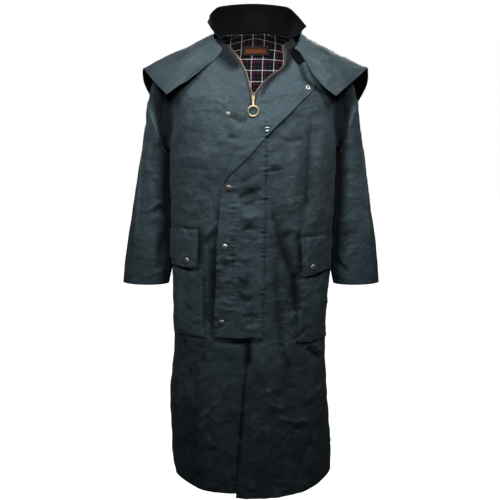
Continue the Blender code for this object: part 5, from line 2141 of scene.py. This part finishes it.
    def sew_flap(self, flap: StormFlap) -> None:
        """Double seam, edges and stud line of the storm flap."""
        foot = FLAP_CLOSED[0].z
        z = np.linspace(foot + self.flap_inset, self.flap_seam_top, 700)
        for name, share in zip(("seam", "seam_inner"), self.flap_seam_shares):
            self.along(f"flap_{name}", flap.closed, z, share)
        z = np.linspace(foot + self.inset, self.flap_edge_top, 500)
        self.along("flap_edge", flap.closed, z, self.flap_edge_share)
        self.across("flap_foot", flap.closed, np.linspace(*self.pocket_span, 200), foot + self.flap_inset)
        heights, places = zip(*FLAP_STUD_ROW)
        z = np.linspace(heights[0], heights[-1], 300)
        free, seam = read(FLAP_CLOSED, "free", z), read(FLAP_CLOSED, "seam", z)
        share = (np.interp(z, heights, places) - free) / (seam - free)
        self.along("flap_line", flap.closed, z, share)
        self.along("lapel_edge", flap.turned, np.linspace(*self.lapel_stations, 500), self.lapel_share)
        self.across("lapel_end", flap.turned, np.linspace(*self.lapel_span, 200), self.lapel_end)


class Light(NamedTuple):
    """A soft square light: its place and size in metres, and its power."""

    name: str
    place: Triple
    size: float
    power: float


LIGHTS = (
    Light("front", (-0.1, -1.3, 0.6), 0.5, 1.9),
    Light("left", (-0.85, -1.0, 1.1), 0.5, 3.1),
    Light("right", (0.85, -1.0, 1.1), 0.5, 3.1),
    Light("back", (0.3, 1.7, 0.8), 0.8, 8.0),
)


@dataclass
class Studio:
    """Camera at the photograph's angle, plain pale floor and soft light."""

    eye: Triple = (-0.0073, -2.7, -0.14)
    target: Triple = (-0.0086, 0.0, -0.587)
    lens: float = 70.37
    sensor: float = 36
    sight: float = 50
    light_aim: Triple = (0, 0, -0.13)
    light_spread: float = 58
    floor_z: float = -1.9
    floor_size: float = 12
    floor_glow: float = 1.1
    fill: float = 0.035

    def aim(self, made: bpy.types.Object, eye: Sequence[float], target: Sequence[float]) -> None:
        """Stands an object at a place, looking at another."""
        made.location = eye
        made.rotation_euler = (Vector(target) - Vector(eye)).to_track_quat("-Z", "Y").to_euler()

    def build_camera(self) -> None:
        """The camera."""
        data = bpy.data.cameras.new("camera")
        data.lens = self.lens
        data.sensor_width = self.sensor
        data.clip_end = self.sight
        made = add_object("camera", data)
        self.aim(made, self.eye, self.target)
        bpy.context.scene.camera = made

    def build_light(self, light: Light) -> None:
        """A soft square light that looks at the coat's chest."""
        data = bpy.data.lights.new(light.name, "AREA")
        data.shape = "SQUARE"
        data.size = light.size
        data.energy = light.power
        data.spread = math.radians(self.light_spread)
        self.aim(add_object(light.name, data), light.place, self.light_aim)

    def build_floor(self) -> None:
        """A pale floor well below the coat, which neither lights it nor shows in its gloss."""
        shaped = bmesh.new()
        bmesh.ops.create_grid(shaped, x_segments=1, y_segments=1, size=self.floor_size,
                              matrix=Matrix.Translation((0, 0, self.floor_z)))
        made = place_mesh("floor", shaped)
        white = (1, 1, 1, 1)
        paint = Graph("floor_paint").finish(Base_Color=white, Roughness=0.9, Emission_Color=white,
                                            Emission_Strength=self.floor_glow)
        made.data.materials.append(paint)
        made.visible_diffuse = made.visible_glossy = False

    def build(self) -> None:
        """Camera, floor, lights and a world that is white to the camera and dim to the coat."""
        self.build_camera()
        self.build_floor()
        for light in LIGHTS:
            self.build_light(light)
        world = bpy.data.worlds.new("studio")
        world.use_nodes = True
        nodes, links = world.node_tree.nodes, world.node_tree.links
        seen = nodes.new("ShaderNodeLightPath").outputs["Is Camera Ray"]
        level = nodes.new("ShaderNodeMapRange")
        level.inputs["To Min"].default_value = self.fill
        level.inputs["To Max"].default_value = 1.0
        links.new(seen, level.inputs["Value"])
        links.new(level.outputs["Result"], nodes["Background"].inputs["Strength"])
        nodes["Background"].inputs["Color"].default_value = (1, 1, 1, 1)
        bpy.context.scene.world = world
        bpy.context.scene.view_settings.view_transform = "Standard"


def main() -> None:
    """Builds every sub-assembly in order."""
    logging.basicConfig(level=logging.INFO, format="%(name)s: %(message)s")
    body = BodyForm()
    plain = BodyForm(relief=Relief(waves=()))
    panels, sleeves, collar, cape = Panels(body), Sleeves(body), Collar(body), Cape()
    flap, zipper, studs = StormFlap(body), Zip(body, plain), Studs(body)
    for assembly in (panels, sleeves, collar, cape, flap, zipper, studs):
        assembly.build()
    stitching = Stitching()
    stitching.sew_panels(panels)
    stitching.sew_sleeves(sleeves)
    stitching.sew_collar(collar)
    stitching.sew_cape(cape)
    stitching.sew_flap(flap)
    Studio().build()


if __name__ == "__main__":
    main()
